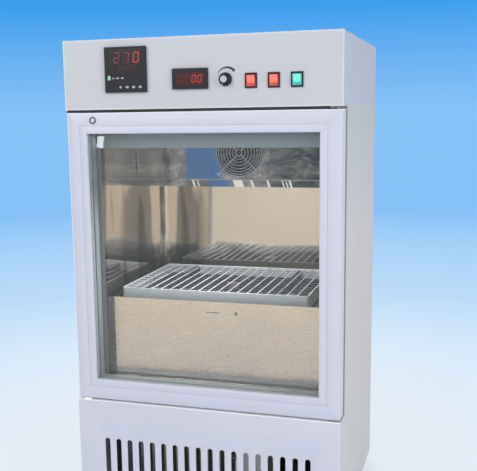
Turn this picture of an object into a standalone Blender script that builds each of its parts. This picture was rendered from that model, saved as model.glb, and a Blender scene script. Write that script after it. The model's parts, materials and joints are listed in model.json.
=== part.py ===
"""Upright incubated shaker: a heated and cooled cabinet with a glass door and an orbiting platform.

Metres, +Z up. The origin is the middle of the footprint on the floor, and the door faces -Y.
Each piece is one closed solid. Moving pieces have their origin on the axis that they move about.
"""

import math

import bmesh
import bpy
from mathutils import Euler, Matrix, Vector

MM = 0.001

# Clearances shared by all pieces
seam = 0.3 * MM
running_gap = 0.3 * MM
overrun = 2.0 * MM

# Cabinet
cabinet_width = 616 * MM
cabinet_depth = 520 * MM
cabinet_height = 1084 * MM
foot_height = 28 * MM
shell_sheet = 1.2 * MM
shell_edge_radius = 4 * MM
control_box_height = 149 * MM
lower_front_height = 269.4 * MM
gap_above_door = 6 * MM
gap_below_door = 4.6 * MM
gap_stop_width = 18 * MM
gap_stop_inset = 12 * MM
gap_stop_depth = 16 * MM

# Door
door_side_reveal = 2.5 * MM
door_width = cabinet_width - 2 * door_side_reveal
door_height = (cabinet_height - control_box_height - gap_above_door - gap_below_door
               - lower_front_height)
door_depth = 46 * MM
rail_width = 46 * MM
bead_width = 20 * MM
bead_step = 1.2 * MM
bead_slope = 7 * MM
glass_setback = 8 * MM
pane_thickness = 4 * MM
pane_spacing = 8.4 * MM
pane_grip = 8 * MM
pane_spacer_width = 7 * MM
gasket_depth = 5.4 * MM
gasket_width = 5 * MM
gasket_inset_side = 5 * MM
gasket_inset_top = 1 * MM

# Door hinge
hinge_inset_x = 8.5 * MM
hinge_inset_y = 12 * MM
hinge_pin_radius = 4 * MM
hinge_pin_length = 14 * MM
hinge_plate_thickness = 3 * MM
hinge_plate_width = 26 * MM
hinge_plate_overhang = 8 * MM

# Door lock
lock_inset_x = 62.3 * MM
lock_inset_z = 16.5 * MM
lock_ring_radius = 8 * MM
lock_ring_height = 1.5 * MM
lock_sleeve_radius = 6.8 * MM
lock_barrel_radius = 5 * MM
lock_barrel_recess = 0.6 * MM
key_slot_length = 5 * MM
key_slot_width = 1.2 * MM
key_slot_depth = 2.5 * MM
cam_thickness = 2 * MM
cam_air = 2.2 * MM
cam_hub_radius = 8 * MM
cam_neck_width = 11 * MM
cam_pad_width = 17 * MM
cam_pad_height = 26 * MM
cam_length = 62 * MM
cam_stem_radius = 3 * MM
cam_lean = math.radians(8)
keeper_sheet = 1.2 * MM
keeper_width = 11 * MM
keeper_reach = 21 * MM
keeper_web = 2 * MM
keeper_drop = 5 * MM

# Chamber
chamber_wall = 56 * MM
chamber_rear_wall = 80 * MM
chamber_width = cabinet_width - 2 * chamber_wall
chamber_back = cabinet_depth - chamber_rear_wall
chamber_top_drop = 192 * MM
chamber_floor_rise = 316 * MM
chamber_corner_radius = 14 * MM
liner_sheet = 0.8 * MM
header_drop = 234 * MM
flange_sheet = 1.2 * MM

# Control panel instruments, placed by shares of the cabinet's width and by drops from its top
controller_size = 96 * MM
controller_bezel_height = 6 * MM
controller_body_size = 91 * MM
controller_body_depth = 80 * MM
controller_across_share = -0.2590909
controller_x = controller_across_share * cabinet_width
controller_drop = 65.1 * MM
controller_window_width = 78 * MM
controller_window_height = 54 * MM
controller_window_rise = 16.5 * MM
controller_window_depth = 2 * MM
key_count = 4
key_width = 10 * MM
key_height = 6.5 * MM
key_pitch = 15.1 * MM
key_row_drop = 37 * MM
key_row_shift = 11.8 * MM
key_pocket_depth = 6 * MM
key_proud = 1.2 * MM
key_travel = 0.8 * MM
meter_width = 79 * MM
meter_height = 43 * MM
meter_bezel_height = 5 * MM
meter_body_width = 75 * MM
meter_body_height = 38 * MM
meter_body_depth = 62 * MM
meter_across_share = -0.0233766
meter_x = meter_across_share * cabinet_width
meter_drop = 87.8 * MM
meter_window_width = 66 * MM
meter_window_height = 28 * MM
meter_window_depth = 1.8 * MM
window_air = 0.3 * MM
knob_across_share = 0.1017857
knob_x = knob_across_share * cabinet_width
knob_drop = 91 * MM
knob_skirt_radius = 14 * MM
knob_skirt_height = 5 * MM
knob_grip_radius = 8.8 * MM
knob_reach = 17 * MM
knob_air = 0.5 * MM
knob_mark_width = 1.4 * MM
knob_mark_depth = 0.6 * MM
knob_rest_turn = math.radians(-150)
pot_shaft_radius = 3 * MM
pot_bush_radius = 5 * MM
pot_nut_radius = 7 * MM
pot_nut_height = 2.5 * MM
pot_body_radius = 12 * MM
pot_body_depth = 18 * MM
pot_bush_depth = 12 * MM
switch_count = 3
first_switch_across_share = 0.1902597
switch_pitch_share = 0.0782468
first_switch_x = first_switch_across_share * cabinet_width
switch_pitch = switch_pitch_share * cabinet_width
switch_drop = 94.7 * MM
switch_width = 25.5 * MM
switch_height = 31 * MM
switch_bezel_height = 2.5 * MM
switch_bezel_rim = 2.6 * MM
switch_body_inset = 1.6 * MM
switch_body_depth = 24 * MM
switch_pocket_depth = 11 * MM
rocker_air = 0.6 * MM
rocker_depth = 7 * MM
rocker_pivot_depth = 3 * MM
rocker_tilt = math.radians(9)
rocker_nose_share = 0.93

# Power board in the control box
board_width = 190 * MM
board_depth = 120 * MM
board_thickness = 1.6 * MM
board_post_radius = 4 * MM
board_post_height = 10 * MM
board_x = 110 * MM
board_setback = 250 * MM
transformer_size = 56 * MM
terminal_strip_depth = 14 * MM
terminal_strip_height = 18 * MM
capacitor_radius = 15 * MM
capacitor_height = 40 * MM

# Lower front panel
slot_count = 18
slot_field_inset = 70.85 * MM
slot_pitch = (cabinet_width - 2 * slot_field_inset) / (slot_count - 1)
slot_width = 12.8 * MM
slot_length = 125 * MM
slot_top_rise = 179.5 * MM

# Back and base
pan_sheet = 1.5 * MM
pan_rim_height = 22 * MM
vent_count = 12
vent_gap_at_inlet = 42 * MM
vent_inset_right = 84 * MM
vent_height = 6 * MM
vent_pitch = 15 * MM
vent_bottom_height = 60 * MM
inlet_inset = 93 * MM
inlet_x = inlet_inset - cabinet_width / 2
inlet_height = 190 * MM
inlet_body_width = 27 * MM
inlet_body_height = 20 * MM
inlet_body_depth = 22 * MM
inlet_cavity_width = 22 * MM
inlet_cavity_height = 15 * MM
inlet_cavity_depth = 17 * MM
inlet_pin_length = 12 * MM
inlet_pin_size = 2 * MM
inlet_lip_width = 34 * MM
inlet_lip_height = 27 * MM
inlet_lip_depth = 1 * MM

# Feet
foot_inset_x = 52 * MM
foot_inset_front = 60 * MM
foot_inset_back = 60 * MM
foot_pad_radius = 19 * MM
foot_pad_height = 12 * MM
foot_nut_radius = 11 * MM
foot_nut_height = 9 * MM
foot_stud_radius = 5 * MM
foot_stud_rise = 34 * MM
foot_collar_radius = 11 * MM
foot_collar_height = 10 * MM

# Air duct, fan and heat exchangers
duct_depth = 182 * MM
duct_setback = chamber_back - duct_depth
duct_bottom_drop = 320 * MM
duct_lip_drop = 338 * MM
duct_lip_step = 4 * MM
duct_sheet = 1 * MM
duct_slot_count = 9
duct_slot_width = 28 * MM
duct_slot_depth = 60 * MM
duct_slot_inset = 52 * MM
duct_slot_pitch = (chamber_width - 2 * duct_slot_inset) / (duct_slot_count - 1)
fan_x = 17 * MM
fan_drop = 255 * MM
fan_frame_size = 118 * MM
fan_frame_depth = 25 * MM
fan_bore_radius = 56 * MM
fan_hub_radius = 20 * MM
fan_stator_depth = 5 * MM
fan_strut_width = 6 * MM
fan_strut_share = 0.5
fan_blade_count = 7
fan_blade_thickness = 1.6 * MM
fan_blade_chord = 17 * MM
fan_blade_pitch = math.radians(35)
fan_tip_air = 2 * MM
fan_rotor_depth = 12 * MM
fan_shaft_radius = 2.5 * MM
guard_ring_count = 7
guard_outer_radius = 57.8 * MM
guard_ring_pitch = 7.5 * MM
guard_wire_radius = 1.1 * MM
guard_leg_wire_radius = 1.3 * MM
guard_hub_radius = 6 * MM
guard_stand_off = 4 * MM
guard_eye_reach = 74 * MM
guard_eye_radius = 4.5 * MM
guard_ring_sides = 28
guard_ring_turn_share = 0.31
heater_tube_radius = 4 * MM
heater_side_air = 15 * MM
evaporator_width = 300 * MM
heater_width = evaporator_width + 2 * heater_side_air
heater_pass_count = 4
heater_pass_pitch = 24 * MM
heater_to_back = 110 * MM
heater_setback = chamber_back - heater_to_back
heater_top_drop = 215 * MM
evaporator_height = 84 * MM
evaporator_depth = 40 * MM
evaporator_top_drop = 212 * MM
evaporator_fin_count = 12
evaporator_fin_gap = 12 * MM
evaporator_tube_radius = 5 * MM

# Shaking platform
tray_side_air = 30 * MM
tray_rear_air = 45 * MM
tray_setback = 80 * MM
tray_width = chamber_width - 2 * tray_side_air
tray_depth = chamber_back - tray_setback - tray_rear_air
tray_top_rise = 208 * MM
tray_height = 30 * MM
tray_wall = 3 * MM
tray_floor = 3 * MM
wire_radius = 1.4 * MM
wire_sink = 1.0 * MM
wire_columns = 18
wire_rows = 11
wire_end_gap = 0.3 * MM
rack_rail_width = 8 * MM
rack_rail_share = 0.62

# Orbital drive
orbit_radius = 10 * MM
pin_radius = 5 * MM
pin_rise = 14 * MM
bush_radius = 15 * MM
bush_height = 17 * MM
crank_disc_radius = 24 * MM
crank_disc_height = 10 * MM
crank_disc_rise = 164 * MM
crank_shaft_radius = 8 * MM
bearing_radius = 20 * MM
bearing_air = 2 * MM
drive_base_thickness = 8 * MM
drive_base_inset_x = 12 * MM
drive_base_inset_y = 7.5 * MM
drive_base_width = tray_width - 2 * drive_base_inset_x
drive_base_depth = tray_depth - 2 * drive_base_inset_y
idler_inset_x = 45 * MM
idler_inset_front = 50 * MM
idler_inset_back = 45 * MM
idler_reach_x = drive_base_width / 2 - idler_inset_x
idler_reach_front = drive_base_depth / 2 - idler_inset_front
idler_reach_back = drive_base_depth / 2 - idler_inset_back
pulley_reach_share = 0.5714286
belt_ratio = 3
big_pulley_radius = pulley_reach_share * idler_reach_back
pulley_rise = 126 * MM
pulley_height = 20 * MM
pulley_hub_radius = 14 * MM
small_pulley_radius = big_pulley_radius / belt_ratio
belt_thickness = 3 * MM
belt_height = 14 * MM
motor_inset_x = 70 * MM
motor_reach_x = drive_base_width / 2 - motor_inset_x
motor_reach_y = 40 * MM
motor_radius = 40 * MM
motor_height = 80 * MM
motor_shaft_radius = 5 * MM
motor_shaft_depth = 20 * MM
motor_flange_radius = 46 * MM
motor_flange_height = 5 * MM
cover_setback = 58 * MM
cover_lip_rise = 189 * MM
cover_top_rise = 172 * MM
cover_sheet = 1.2 * MM
cover_hole_radius = 20 * MM
cover_wall_air = 1 * MM
cover_screw_x = 62 * MM
cover_screw_rise = 164.2 * MM
cover_screw_radius = 3.2 * MM
cover_screw_height = 1.6 * MM

# Refrigeration in the lower compartment
compressor_inset_x = 158 * MM
compressor_inset_back = 190 * MM
compressor_x = cabinet_width / 2 - compressor_inset_x
compressor_setback = cabinet_depth - compressor_inset_back
compressor_radius = 72 * MM
compressor_height = 165 * MM
compressor_foot_width = 190 * MM
compressor_foot_depth = 130 * MM
compressor_foot_height = 4 * MM
compressor_neck_height = 8 * MM
pipe_radius = 4.5 * MM
pipe_rise = 26 * MM
condenser_x = -110 * MM
condenser_setback = 120 * MM
condenser_width = 260 * MM
condenser_height = 190 * MM
condenser_depth = 60 * MM
condenser_fin_count = 16
condenser_fin_gap = 9 * MM
condenser_end_plate = 6 * MM
condenser_tube_radius = 5 * MM

# Frame of reference worked out from the sizes above
front_y = knob_reach - (cabinet_depth + knob_reach) / 2
back_y = front_y + cabinet_depth
side_x = cabinet_width / 2
base_z = foot_height
top_z = base_z + cabinet_height
inner_x = side_x - shell_sheet - seam

control_floor_z = top_z - control_box_height
door_top_z = control_floor_z - gap_above_door
door_bottom_z = door_top_z - door_height
lower_panel_top_z = door_bottom_z - gap_below_door
door_back_y = front_y + door_depth
flange_y = door_back_y + seam + gasket_depth + seam
flange_back_y = flange_y + flange_sheet
panel_back_y = front_y + shell_sheet

glass_width = door_width - 2 * rail_width
glass_height = door_height - 2 * rail_width
door_middle_z = (door_top_z + door_bottom_z) / 2
glazing_y = front_y + glass_setback
glazing_depth = 2 * pane_thickness + pane_spacing + 4 * seam
hinge_x = door_width / 2 - hinge_inset_x
hinge_y = front_y + hinge_inset_y
lock_x = lock_inset_x - door_width / 2
lock_z = door_top_z - lock_inset_z

platform_y = front_y + tray_setback + tray_depth / 2
chamber_floor_z = base_z + chamber_floor_rise
platform_top_z = chamber_floor_z + tray_top_rise
tray_bottom_z = platform_top_z - tray_height
liner_front_y = flange_back_y + seam
liner_back_y = front_y + chamber_back
crank_top_z = chamber_floor_z + crank_disc_rise
pulley_top_z = chamber_floor_z + pulley_rise
pulley_bottom_z = pulley_top_z - pulley_height
drive_base_top_z = chamber_floor_z + seam + drive_base_thickness
pin_top_z = tray_bottom_z + pin_rise
main_crank_place = (0.0, platform_y)
main_pin_place = (0.0, platform_y + orbit_radius)
motor_place = (motor_reach_x, platform_y + motor_reach_y)
idler_places = (
    (-idler_reach_x, platform_y - idler_reach_front),
    (idler_reach_x, platform_y - idler_reach_front),
    (0.0, platform_y + idler_reach_back),
)
duct_y = front_y + duct_setback
fan_z = top_z - fan_drop
switch_z = top_z - switch_drop
base_floor_z = base_z + pan_sheet

parts = bpy.data.collections.new("incubated_shaker")
cutters = bpy.data.collections.new("cutters")


def clear_scene():
    """Remove what the scene held before, and link the two collections."""
    for old in list(bpy.data.objects):
        bpy.data.objects.remove(old, do_unlink=True)
    bpy.context.scene.collection.children.link(parts)
    bpy.context.scene.collection.children.link(cutters)


def finish(name, color, roughness, metallic=0.0):
    """One material, from its colour, roughness and metallic value."""
    made = bpy.data.materials.new(name)
    made.use_nodes = True
    shader = made.node_tree.nodes["Principled BSDF"]
    shader.inputs["Base Color"].default_value = (*color, 1.0)
    shader.inputs["Roughness"].default_value = roughness
    shader.inputs["Metallic"].default_value = metallic
    return made


FINISHES = {
    "control_paint": finish("control_paint", (0.60, 0.60, 0.64), 0.45),
    "door_paint": finish("door_paint", (0.65, 0.67, 0.80), 0.4),
    "side_paint": finish("side_paint", (0.55, 0.54, 0.57), 0.45),
    "stainless": finish("stainless", (0.62, 0.60, 0.56), 0.15, 1.0),
    "chrome": finish("chrome", (0.80, 0.80, 0.80), 0.1, 1.0),
    "zinc_steel": finish("zinc_steel", (0.55, 0.56, 0.58), 0.35, 1.0),
    "cast_aluminium": finish("cast_aluminium", (0.60, 0.60, 0.60), 0.5, 1.0),
    "tray_grey": finish("tray_grey", (0.45, 0.48, 0.50), 0.4),
    "black_plastic": finish("black_plastic", (0.02, 0.02, 0.02), 0.4),
    "grey_plastic": finish("grey_plastic", (0.55, 0.55, 0.56), 0.5),
    "smoked_window": finish("smoked_window", (0.05, 0.01, 0.01), 0.1),
    "red_window": finish("red_window", (0.20, 0.01, 0.01), 0.1),
    "red_lens": finish("red_lens", (0.70, 0.05, 0.05), 0.25),
    "green_lens": finish("green_lens", (0.05, 0.55, 0.30), 0.25),
    "rubber": finish("rubber", (0.05, 0.05, 0.05), 0.8),
    "white_rubber": finish("white_rubber", (0.60, 0.60, 0.60), 0.7),
    "foam": finish("foam", (0.75, 0.68, 0.45), 0.9),
    "glass": finish("glass", (0.70, 0.80, 0.75), 0.03),
    "copper": finish("copper", (0.72, 0.40, 0.25), 0.3, 1.0),
    "black_enamel": finish("black_enamel", (0.02, 0.02, 0.02), 0.35),
    "circuit_green": finish("circuit_green", (0.03, 0.20, 0.08), 0.5),
}


def down(drop):
    """Height of a place that is given as a drop below the cabinet's top."""
    return top_z - drop


def back(setback):
    """Y of a place that is given as a setback behind the cabinet's front."""
    return front_y + setback


def add_box(mesh, low, high):
    """Box between two opposite corners."""
    size = [b - a for a, b in zip(low, high)]
    middle = [(a + b) / 2 for a, b in zip(low, high)]
    place = Matrix.Translation(middle) @ Matrix.Diagonal((*size, 1))
    return bmesh.ops.create_cube(mesh, size=1, matrix=place)["verts"]


def add_rod(mesh, start, end, radius, sides=24, end_radius=None):
    """Round bar, or cone where the radii differ, between two points."""
    start = Vector(start)
    along = Vector(end) - start
    turn = along.to_track_quat("Z", "Y").to_matrix().to_4x4()
    place = Matrix.Translation(start + along / 2) @ turn
    end_radius = radius if end_radius is None else end_radius
    bmesh.ops.create_cone(mesh, cap_ends=True, segments=sides, radius1=radius, radius2=end_radius,
                          depth=along.length, matrix=place)


def add_frustum(mesh, middle, front_size, rear_size, y_front, y_rear):
    """Four-sided funnel along Y between two rectangles of width and height."""
    depth = y_rear - y_front
    low = (middle[0] - front_size[0] / 2, y_front, middle[1] - front_size[1] / 2)
    high = (middle[0] + front_size[0] / 2, y_rear, middle[1] + front_size[1] / 2)
    for vert in add_box(mesh, low, high):
        if vert.co.y > y_front + depth / 2:
            vert.co.x = middle[0] + (vert.co.x - middle[0]) * rear_size[0] / front_size[0]
            vert.co.z = middle[1] + (vert.co.z - middle[1]) * rear_size[1] / front_size[1]


def make_object(name, data, material, pivot=(0, 0, 0), parent=None):
    """Put a mesh made in world places into the scene with its origin on the pivot."""
    data.transform(Matrix.Translation(-Vector(pivot)))
    if material:
        data.materials.append(FINISHES[material])
    data.shade_smooth()
    data.set_sharp_from_angle(angle=math.radians(35))
    made = bpy.data.objects.new(name, data)
    made.location = Vector(pivot)
    if parent:
        made.parent = parent
        made.location -= parent.location
    parts.objects.link(made)
    return made


def solid(name, mesh, material, pivot=(0, 0, 0), parent=None):
    """Named piece from a bmesh."""
    data = bpy.data.meshes.new(name)
    mesh.to_mesh(data)
    mesh.free()
    return make_object(name, data, material, pivot, parent)


def change(target, mesh, operation):
    """Boolean of a piece with another body, which is kept as a hidden guide."""
    count = len(cutters.objects)
    data = bpy.data.meshes.new(f"guide_{count}")
    mesh.to_mesh(data)
    mesh.free()
    guide = bpy.data.objects.new(f"guide_{count}", data)
    guide.hide_render = True
    guide.display_type = "WIRE"
    cutters.objects.link(guide)
    step = target.modifiers.new(f"{operation.lower()}_{count}", "BOOLEAN")
    step.operation = operation
    step.object = guide


def cut(target, mesh):
    """Take a body away from a piece."""
    change(target, mesh, "DIFFERENCE")


def fuse(target, mesh):
    """Join a body to a piece."""
    change(target, mesh, "UNION")


def box_piece(name, low, high, material, pivot=(0, 0, 0), parent=None):
    """Piece that starts as a box."""
    mesh = bmesh.new()
    add_box(mesh, low, high)
    return solid(name, mesh, material, pivot, parent)


def cut_box(target, low, high):
    """Cut a box out of a piece."""
    mesh = bmesh.new()
    add_box(mesh, low, high)
    cut(target, mesh)


def fuse_box(target, low, high):
    """Join a box to a piece."""
    mesh = bmesh.new()
    add_box(mesh, low, high)
    fuse(target, mesh)


def cut_rod(target, start, end, radius, sides=24):
    """Cut a round hole through a piece."""
    mesh = bmesh.new()
    add_rod(mesh, start, end, radius, sides)
    cut(target, mesh)


def fuse_rod(target, start, end, radius, sides=24):
    """Join a round bar to a piece."""
    mesh = bmesh.new()
    add_rod(mesh, start, end, radius, sides)
    fuse(target, mesh)


def turned(name, profile, material, place, axis="Z", sides=32, parent=None):
    """Turned piece: radius and height pairs, top to bottom, about an axis through a place."""
    data = bpy.data.meshes.new(name)
    edges = [(i, i + 1) for i in range(len(profile) - 1)]
    data.from_pydata([(radius, 0, height) for radius, height in profile], edges, [])
    if material:
        data.materials.append(FINISHES[material])
    made = bpy.data.objects.new(name, data)
    made.location = Vector(place)
    if axis == "FRONT":
        made.rotation_euler = Euler((math.radians(90), 0, 0))
    if parent:
        made.parent = parent
        made.location -= parent.location
    parts.objects.link(made)
    lathe = made.modifiers.new("turn", "SCREW")
    lathe.steps = sides
    lathe.render_steps = sides
    lathe.use_merge_vertices = True
    lathe.merge_threshold = 0.01 * MM
    lathe.use_smooth_shade = False
    return made


def plate_outline(name, outlines, thickness, material, place, turn, parent=None):
    """Flat plate from closed outlines in its own plane, centred on its thickness."""
    curve = bpy.data.curves.new(name, "CURVE")
    curve.dimensions = "2D"
    curve.fill_mode = "BOTH"
    curve.extrude = thickness / 2
    for outline in outlines:
        line = curve.splines.new("POLY")
        line.points.add(len(outline) - 1)
        for point, (u, v) in zip(line.points, outline):
            point.co = (u, v, 0, 1)
        line.use_cyclic_u = True
    curve.materials.append(FINISHES[material])
    made = bpy.data.objects.new(name, curve)
    made.location = Vector(place)
    made.rotation_euler = Euler(turn)
    if parent:
        made.parent = parent
        made.location -= parent.location
    parts.objects.link(made)
    return made


def tube(name, points, radius, material):
    """Bent tube along a list of points."""
    curve = bpy.data.curves.new(name, "CURVE")
    curve.dimensions = "3D"
    curve.bevel_depth = radius
    curve.bevel_resolution = 2
    curve.use_fill_caps = True
    line = curve.splines.new("POLY")
    line.points.add(len(points) - 1)
    for point, place in zip(line.points, points):
        point.co = (*place, 1)
    curve.materials.append(FINISHES[material])
    made = bpy.data.objects.new(name, curve)
    parts.objects.link(made)
    return made


def pivot_empty(name, place):
    """Empty on a joint's axis, which carries the pieces that move about it."""
    made = bpy.data.objects.new(name, None)
    made.location = Vector(place)
    parts.objects.link(made)
    return made


def arc(middle, radius, start, end, steps):
    """Points of an arc in a plane."""
    turns = [start + (end - start) * i / steps for i in range(steps + 1)]
    return [(middle[0] + radius * math.cos(a), middle[1] + radius * math.sin(a)) for a in turns]


def screen_axis_turn():
    """Turn that sends a flat outline's own X to depth, its Y to height and its normal to +X."""
    return (math.radians(90), 0, math.radians(90))


# Cabinet casings
def make_outer_shell():
    """Folded sides and top, with the front edge stepped back where the door lies."""
    shell_front_y = panel_back_y + seam
    mesh = bmesh.new()
    add_box(mesh, (-side_x, shell_front_y, base_z), (side_x, back_y, top_z))
    top_edges = [edge for edge in mesh.edges
                 if all(v.co.z > top_z - seam for v in edge.verts)
                 and abs(edge.verts[0].co.x - edge.verts[1].co.x) < seam]
    bmesh.ops.bevel(mesh, geom=top_edges, offset=shell_edge_radius, segments=4, profile=0.5,
                    affect="EDGES")
    shell = solid("outer_shell", mesh, "side_paint")
    cut_box(shell, (shell_sheet - side_x, shell_front_y - overrun, base_z - overrun),
            (side_x - shell_sheet, back_y + overrun, top_z - shell_sheet))
    cut_box(shell, (-side_x - overrun, shell_front_y - overrun, lower_panel_top_z),
            (side_x + overrun, flange_y, control_floor_z))


def make_control_panel():
    """Front of the control box with its floor tray, cut for the instruments."""
    panel = box_piece("control_panel", (-side_x, front_y, control_floor_z),
                      (side_x, panel_back_y, top_z), "control_paint")
    fuse_box(panel, (-inner_x, front_y + shell_sheet / 2, control_floor_z),
             (inner_x, back_y - shell_sheet - seam, control_floor_z + shell_sheet))
    window = bmesh.new()
    for x, z, width, height in instrument_cutouts():
        add_box(window, (x - width / 2, front_y - overrun, z - height / 2),
                (x + width / 2, panel_back_y + overrun, z + height / 2))
    cut(panel, window)
    cut_rod(panel, (knob_x, front_y - overrun, down(knob_drop)),
            (knob_x, panel_back_y + overrun, down(knob_drop)), pot_bush_radius + seam)


def instrument_cutouts():
    """Place and size of each rectangular hole in the control panel."""
    room = 2 * seam
    holes = [(controller_x, down(controller_drop), controller_body_size + room,
              controller_body_size + room),
             (meter_x, down(meter_drop), meter_body_width + room, meter_body_height + room)]
    body = (switch_width - 2 * switch_body_inset, switch_height - 2 * switch_body_inset)
    for number in range(switch_count):
        x = first_switch_x + number * switch_pitch
        holes.append((x, switch_z, body[0] + room, body[1] + room))
    return holes


def make_lower_front_panel():
    """Slotted front of the lower compartment, with a flange and a small stop under the door."""
    panel = box_piece("lower_front_panel", (-side_x, front_y, base_z),
                      (side_x, panel_back_y, lower_panel_top_z), "door_paint")
    fuse_box(panel, (-inner_x, front_y + shell_sheet / 2, lower_panel_top_z - shell_sheet),
             (inner_x, flange_y - seam, lower_panel_top_z))
    stop_left = gap_stop_inset - door_width / 2
    fuse_box(panel, (stop_left, front_y + shell_sheet / 2, lower_panel_top_z - shell_sheet / 2),
             (stop_left + gap_stop_width, front_y + gap_stop_depth, door_bottom_z - seam - running_gap))
    slot_top = base_z + slot_top_rise
    slots = bmesh.new()
    for number in range(slot_count):
        x = (number - (slot_count - 1) / 2) * slot_pitch
        add_obround(slots, x, slot_top - slot_length, slot_top)
    cut(panel, slots)


def add_obround(mesh, x, low_z, high_z):
    """Upright slot cutter with round ends."""
    radius = slot_width / 2
    outline = arc((x, high_z - radius), radius, 0, math.pi, 4)
    outline += arc((x, low_z + radius), radius, math.pi, 2 * math.pi, 4)
    near = [mesh.verts.new((u, front_y - overrun, v)) for u, v in outline]
    face = mesh.faces.new(near)
    grown = bmesh.ops.extrude_face_region(mesh, geom=[face])
    far = [item for item in grown["geom"] if isinstance(item, bmesh.types.BMVert)]
    bmesh.ops.translate(mesh, verts=far, vec=(0, shell_sheet + 2 * overrun, 0))
    bmesh.ops.recalc_face_normals(mesh, faces=mesh.faces)


def make_back_panel():
    """Rear sheet with cooling louvres and the hole of the power inlet."""
    panel = box_piece("back_panel", (-inner_x, back_y - shell_sheet, base_z),
                      (inner_x, back_y, top_z - shell_sheet - seam), "side_paint")
    vents = bmesh.new()
    vent_left = inlet_x + inlet_lip_width / 2 + vent_gap_at_inlet
    vent_right = side_x - vent_inset_right
    for number in range(vent_count):
        z = base_z + vent_bottom_height + number * vent_pitch
        add_box(vents, (vent_left, back_y - shell_sheet - overrun, z),
                (vent_right, back_y + overrun, z + vent_height))
    cut(panel, vents)
    inlet_z = base_z + inlet_height
    cut_box(panel, (inlet_x - inlet_body_width / 2 - seam, back_y - shell_sheet - overrun,
                    inlet_z - inlet_body_height / 2 - seam),
            (inlet_x + inlet_body_width / 2 + seam, back_y + overrun,
             inlet_z + inlet_body_height / 2 + seam))


def make_power_inlet():
    """Mains inlet socket, set flush into the back panel behind a thin lip."""
    z = base_z + inlet_height
    face_y = back_y
    lip_y = back_y - shell_sheet - seam
    body = box_piece("power_inlet", (inlet_x - inlet_body_width / 2, lip_y - inlet_body_depth,
                                     z - inlet_body_height / 2),
                     (inlet_x + inlet_body_width / 2, face_y, z + inlet_body_height / 2),
                     "black_plastic")
    fuse_box(body, (inlet_x - inlet_lip_width / 2, lip_y - inlet_lip_depth,
                    z - inlet_lip_height / 2),
             (inlet_x + inlet_lip_width / 2, lip_y, z + inlet_lip_height / 2))
    cut_box(body, (inlet_x - inlet_cavity_width / 2, face_y - inlet_cavity_depth,
                   z - inlet_cavity_height / 2),
            (inlet_x + inlet_cavity_width / 2, face_y + overrun, z + inlet_cavity_height / 2))
    pins = bmesh.new()
    for across in (-1, 0, 1):
        x = inlet_x + across * inlet_cavity_width / 4
        pin_z = z - abs(across) * inlet_cavity_height / 6
        add_box(pins, (x - inlet_pin_size / 2, face_y - inlet_cavity_depth - inlet_pin_size,
                       pin_z - inlet_pin_size),
                (x + inlet_pin_size / 2, face_y - inlet_cavity_depth + inlet_pin_length,
                 pin_z + inlet_pin_size))
    fuse(body, pins)


def foot_places():
    """Where the four levelling feet stand."""
    x = side_x - foot_inset_x
    near = back(foot_inset_front)
    far = back_y - foot_inset_back
    return ((-x, near), (x, near), (-x, far), (x, far))


def make_base_pan():
    """Pressed floor of the lower compartment with a collar for each foot."""
    low = (-inner_x, panel_back_y + seam, base_z)
    high = (inner_x, back_y - shell_sheet - seam, base_z + pan_rim_height)
    pan = box_piece("base_pan", low, high, "zinc_steel")
    cut_box(pan, (low[0] + pan_sheet, low[1] + pan_sheet, base_floor_z),
            (high[0] - pan_sheet, high[1] - pan_sheet, high[2] + overrun))
    collars = bmesh.new()
    for x, y in foot_places():
        add_rod(collars, (x, y, base_z + pan_sheet / 2), (x, y, base_floor_z + foot_collar_height),
                foot_collar_radius, 16)
    fuse(pan, collars)
    holes = bmesh.new()
    for x, y in foot_places():
        add_rod(holes, (x, y, base_z - overrun), (x, y, base_floor_z + foot_collar_height + overrun),
                foot_stud_radius + running_gap, 16)
    cut(pan, holes)


def make_feet():
    """Levelling feet: pad, lock nut and stud in one turned piece each."""
    nut_low = foot_height - running_gap - foot_nut_height
    profile = [(0, foot_height + foot_stud_rise),
               (foot_stud_radius, foot_height + foot_stud_rise),
               (foot_stud_radius, nut_low + foot_nut_height),
               (foot_nut_radius, nut_low + foot_nut_height),
               (foot_nut_radius, nut_low),
               (foot_stud_radius, nut_low),
               (foot_stud_radius, foot_pad_height),
               (foot_pad_radius - foot_pad_height / 3, foot_pad_height),
               (foot_pad_radius, foot_pad_height * 2 / 3),
               (foot_pad_radius, 0),
               (0, 0)]
    for number, (x, y) in enumerate(foot_places(), start=1):
        turned(f"foot_{number}", profile, "rubber", (x, y, 0), sides=16)


# Insulated chamber
def make_chamber_front_flange():
    """Face frame that the door closes on, with the deep header over the chamber."""
    flange = box_piece("chamber_front_flange", (-inner_x, flange_y, lower_panel_top_z - shell_sheet),
                       (inner_x, flange_back_y, control_floor_z - seam), "tray_grey")
    cut_box(flange, (-chamber_width / 2, flange_y - overrun, chamber_floor_z),
            (chamber_width / 2, flange_back_y + overrun, down(header_drop)))


def make_chamber_liner():
    """Five-sided stainless box with round rear corners, open at the front."""
    mesh = bmesh.new()
    add_box(mesh, (-chamber_width / 2, liner_front_y, chamber_floor_z),
            (chamber_width / 2, liner_back_y, down(chamber_top_drop)))
    middle_y = (liner_front_y + liner_back_y) / 2
    front = [face for face in mesh.faces if face.normal.y < -0.5]
    corners = [edge for edge in mesh.edges
               if all(v.co.y > middle_y for v in edge.verts)
               and abs(edge.verts[0].co.x - edge.verts[1].co.x) < seam]
    bmesh.ops.delete(mesh, geom=front, context="FACES")
    bmesh.ops.bevel(mesh, geom=corners, offset=chamber_corner_radius, segments=5, profile=0.5,
                    affect="EDGES")
    liner = solid("chamber_liner", mesh, "stainless")
    wall = liner.modifiers.new("wall", "SOLIDIFY")
    wall.thickness = liner_sheet
    wall.offset = 1
    wall.use_even_offset = True


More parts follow.
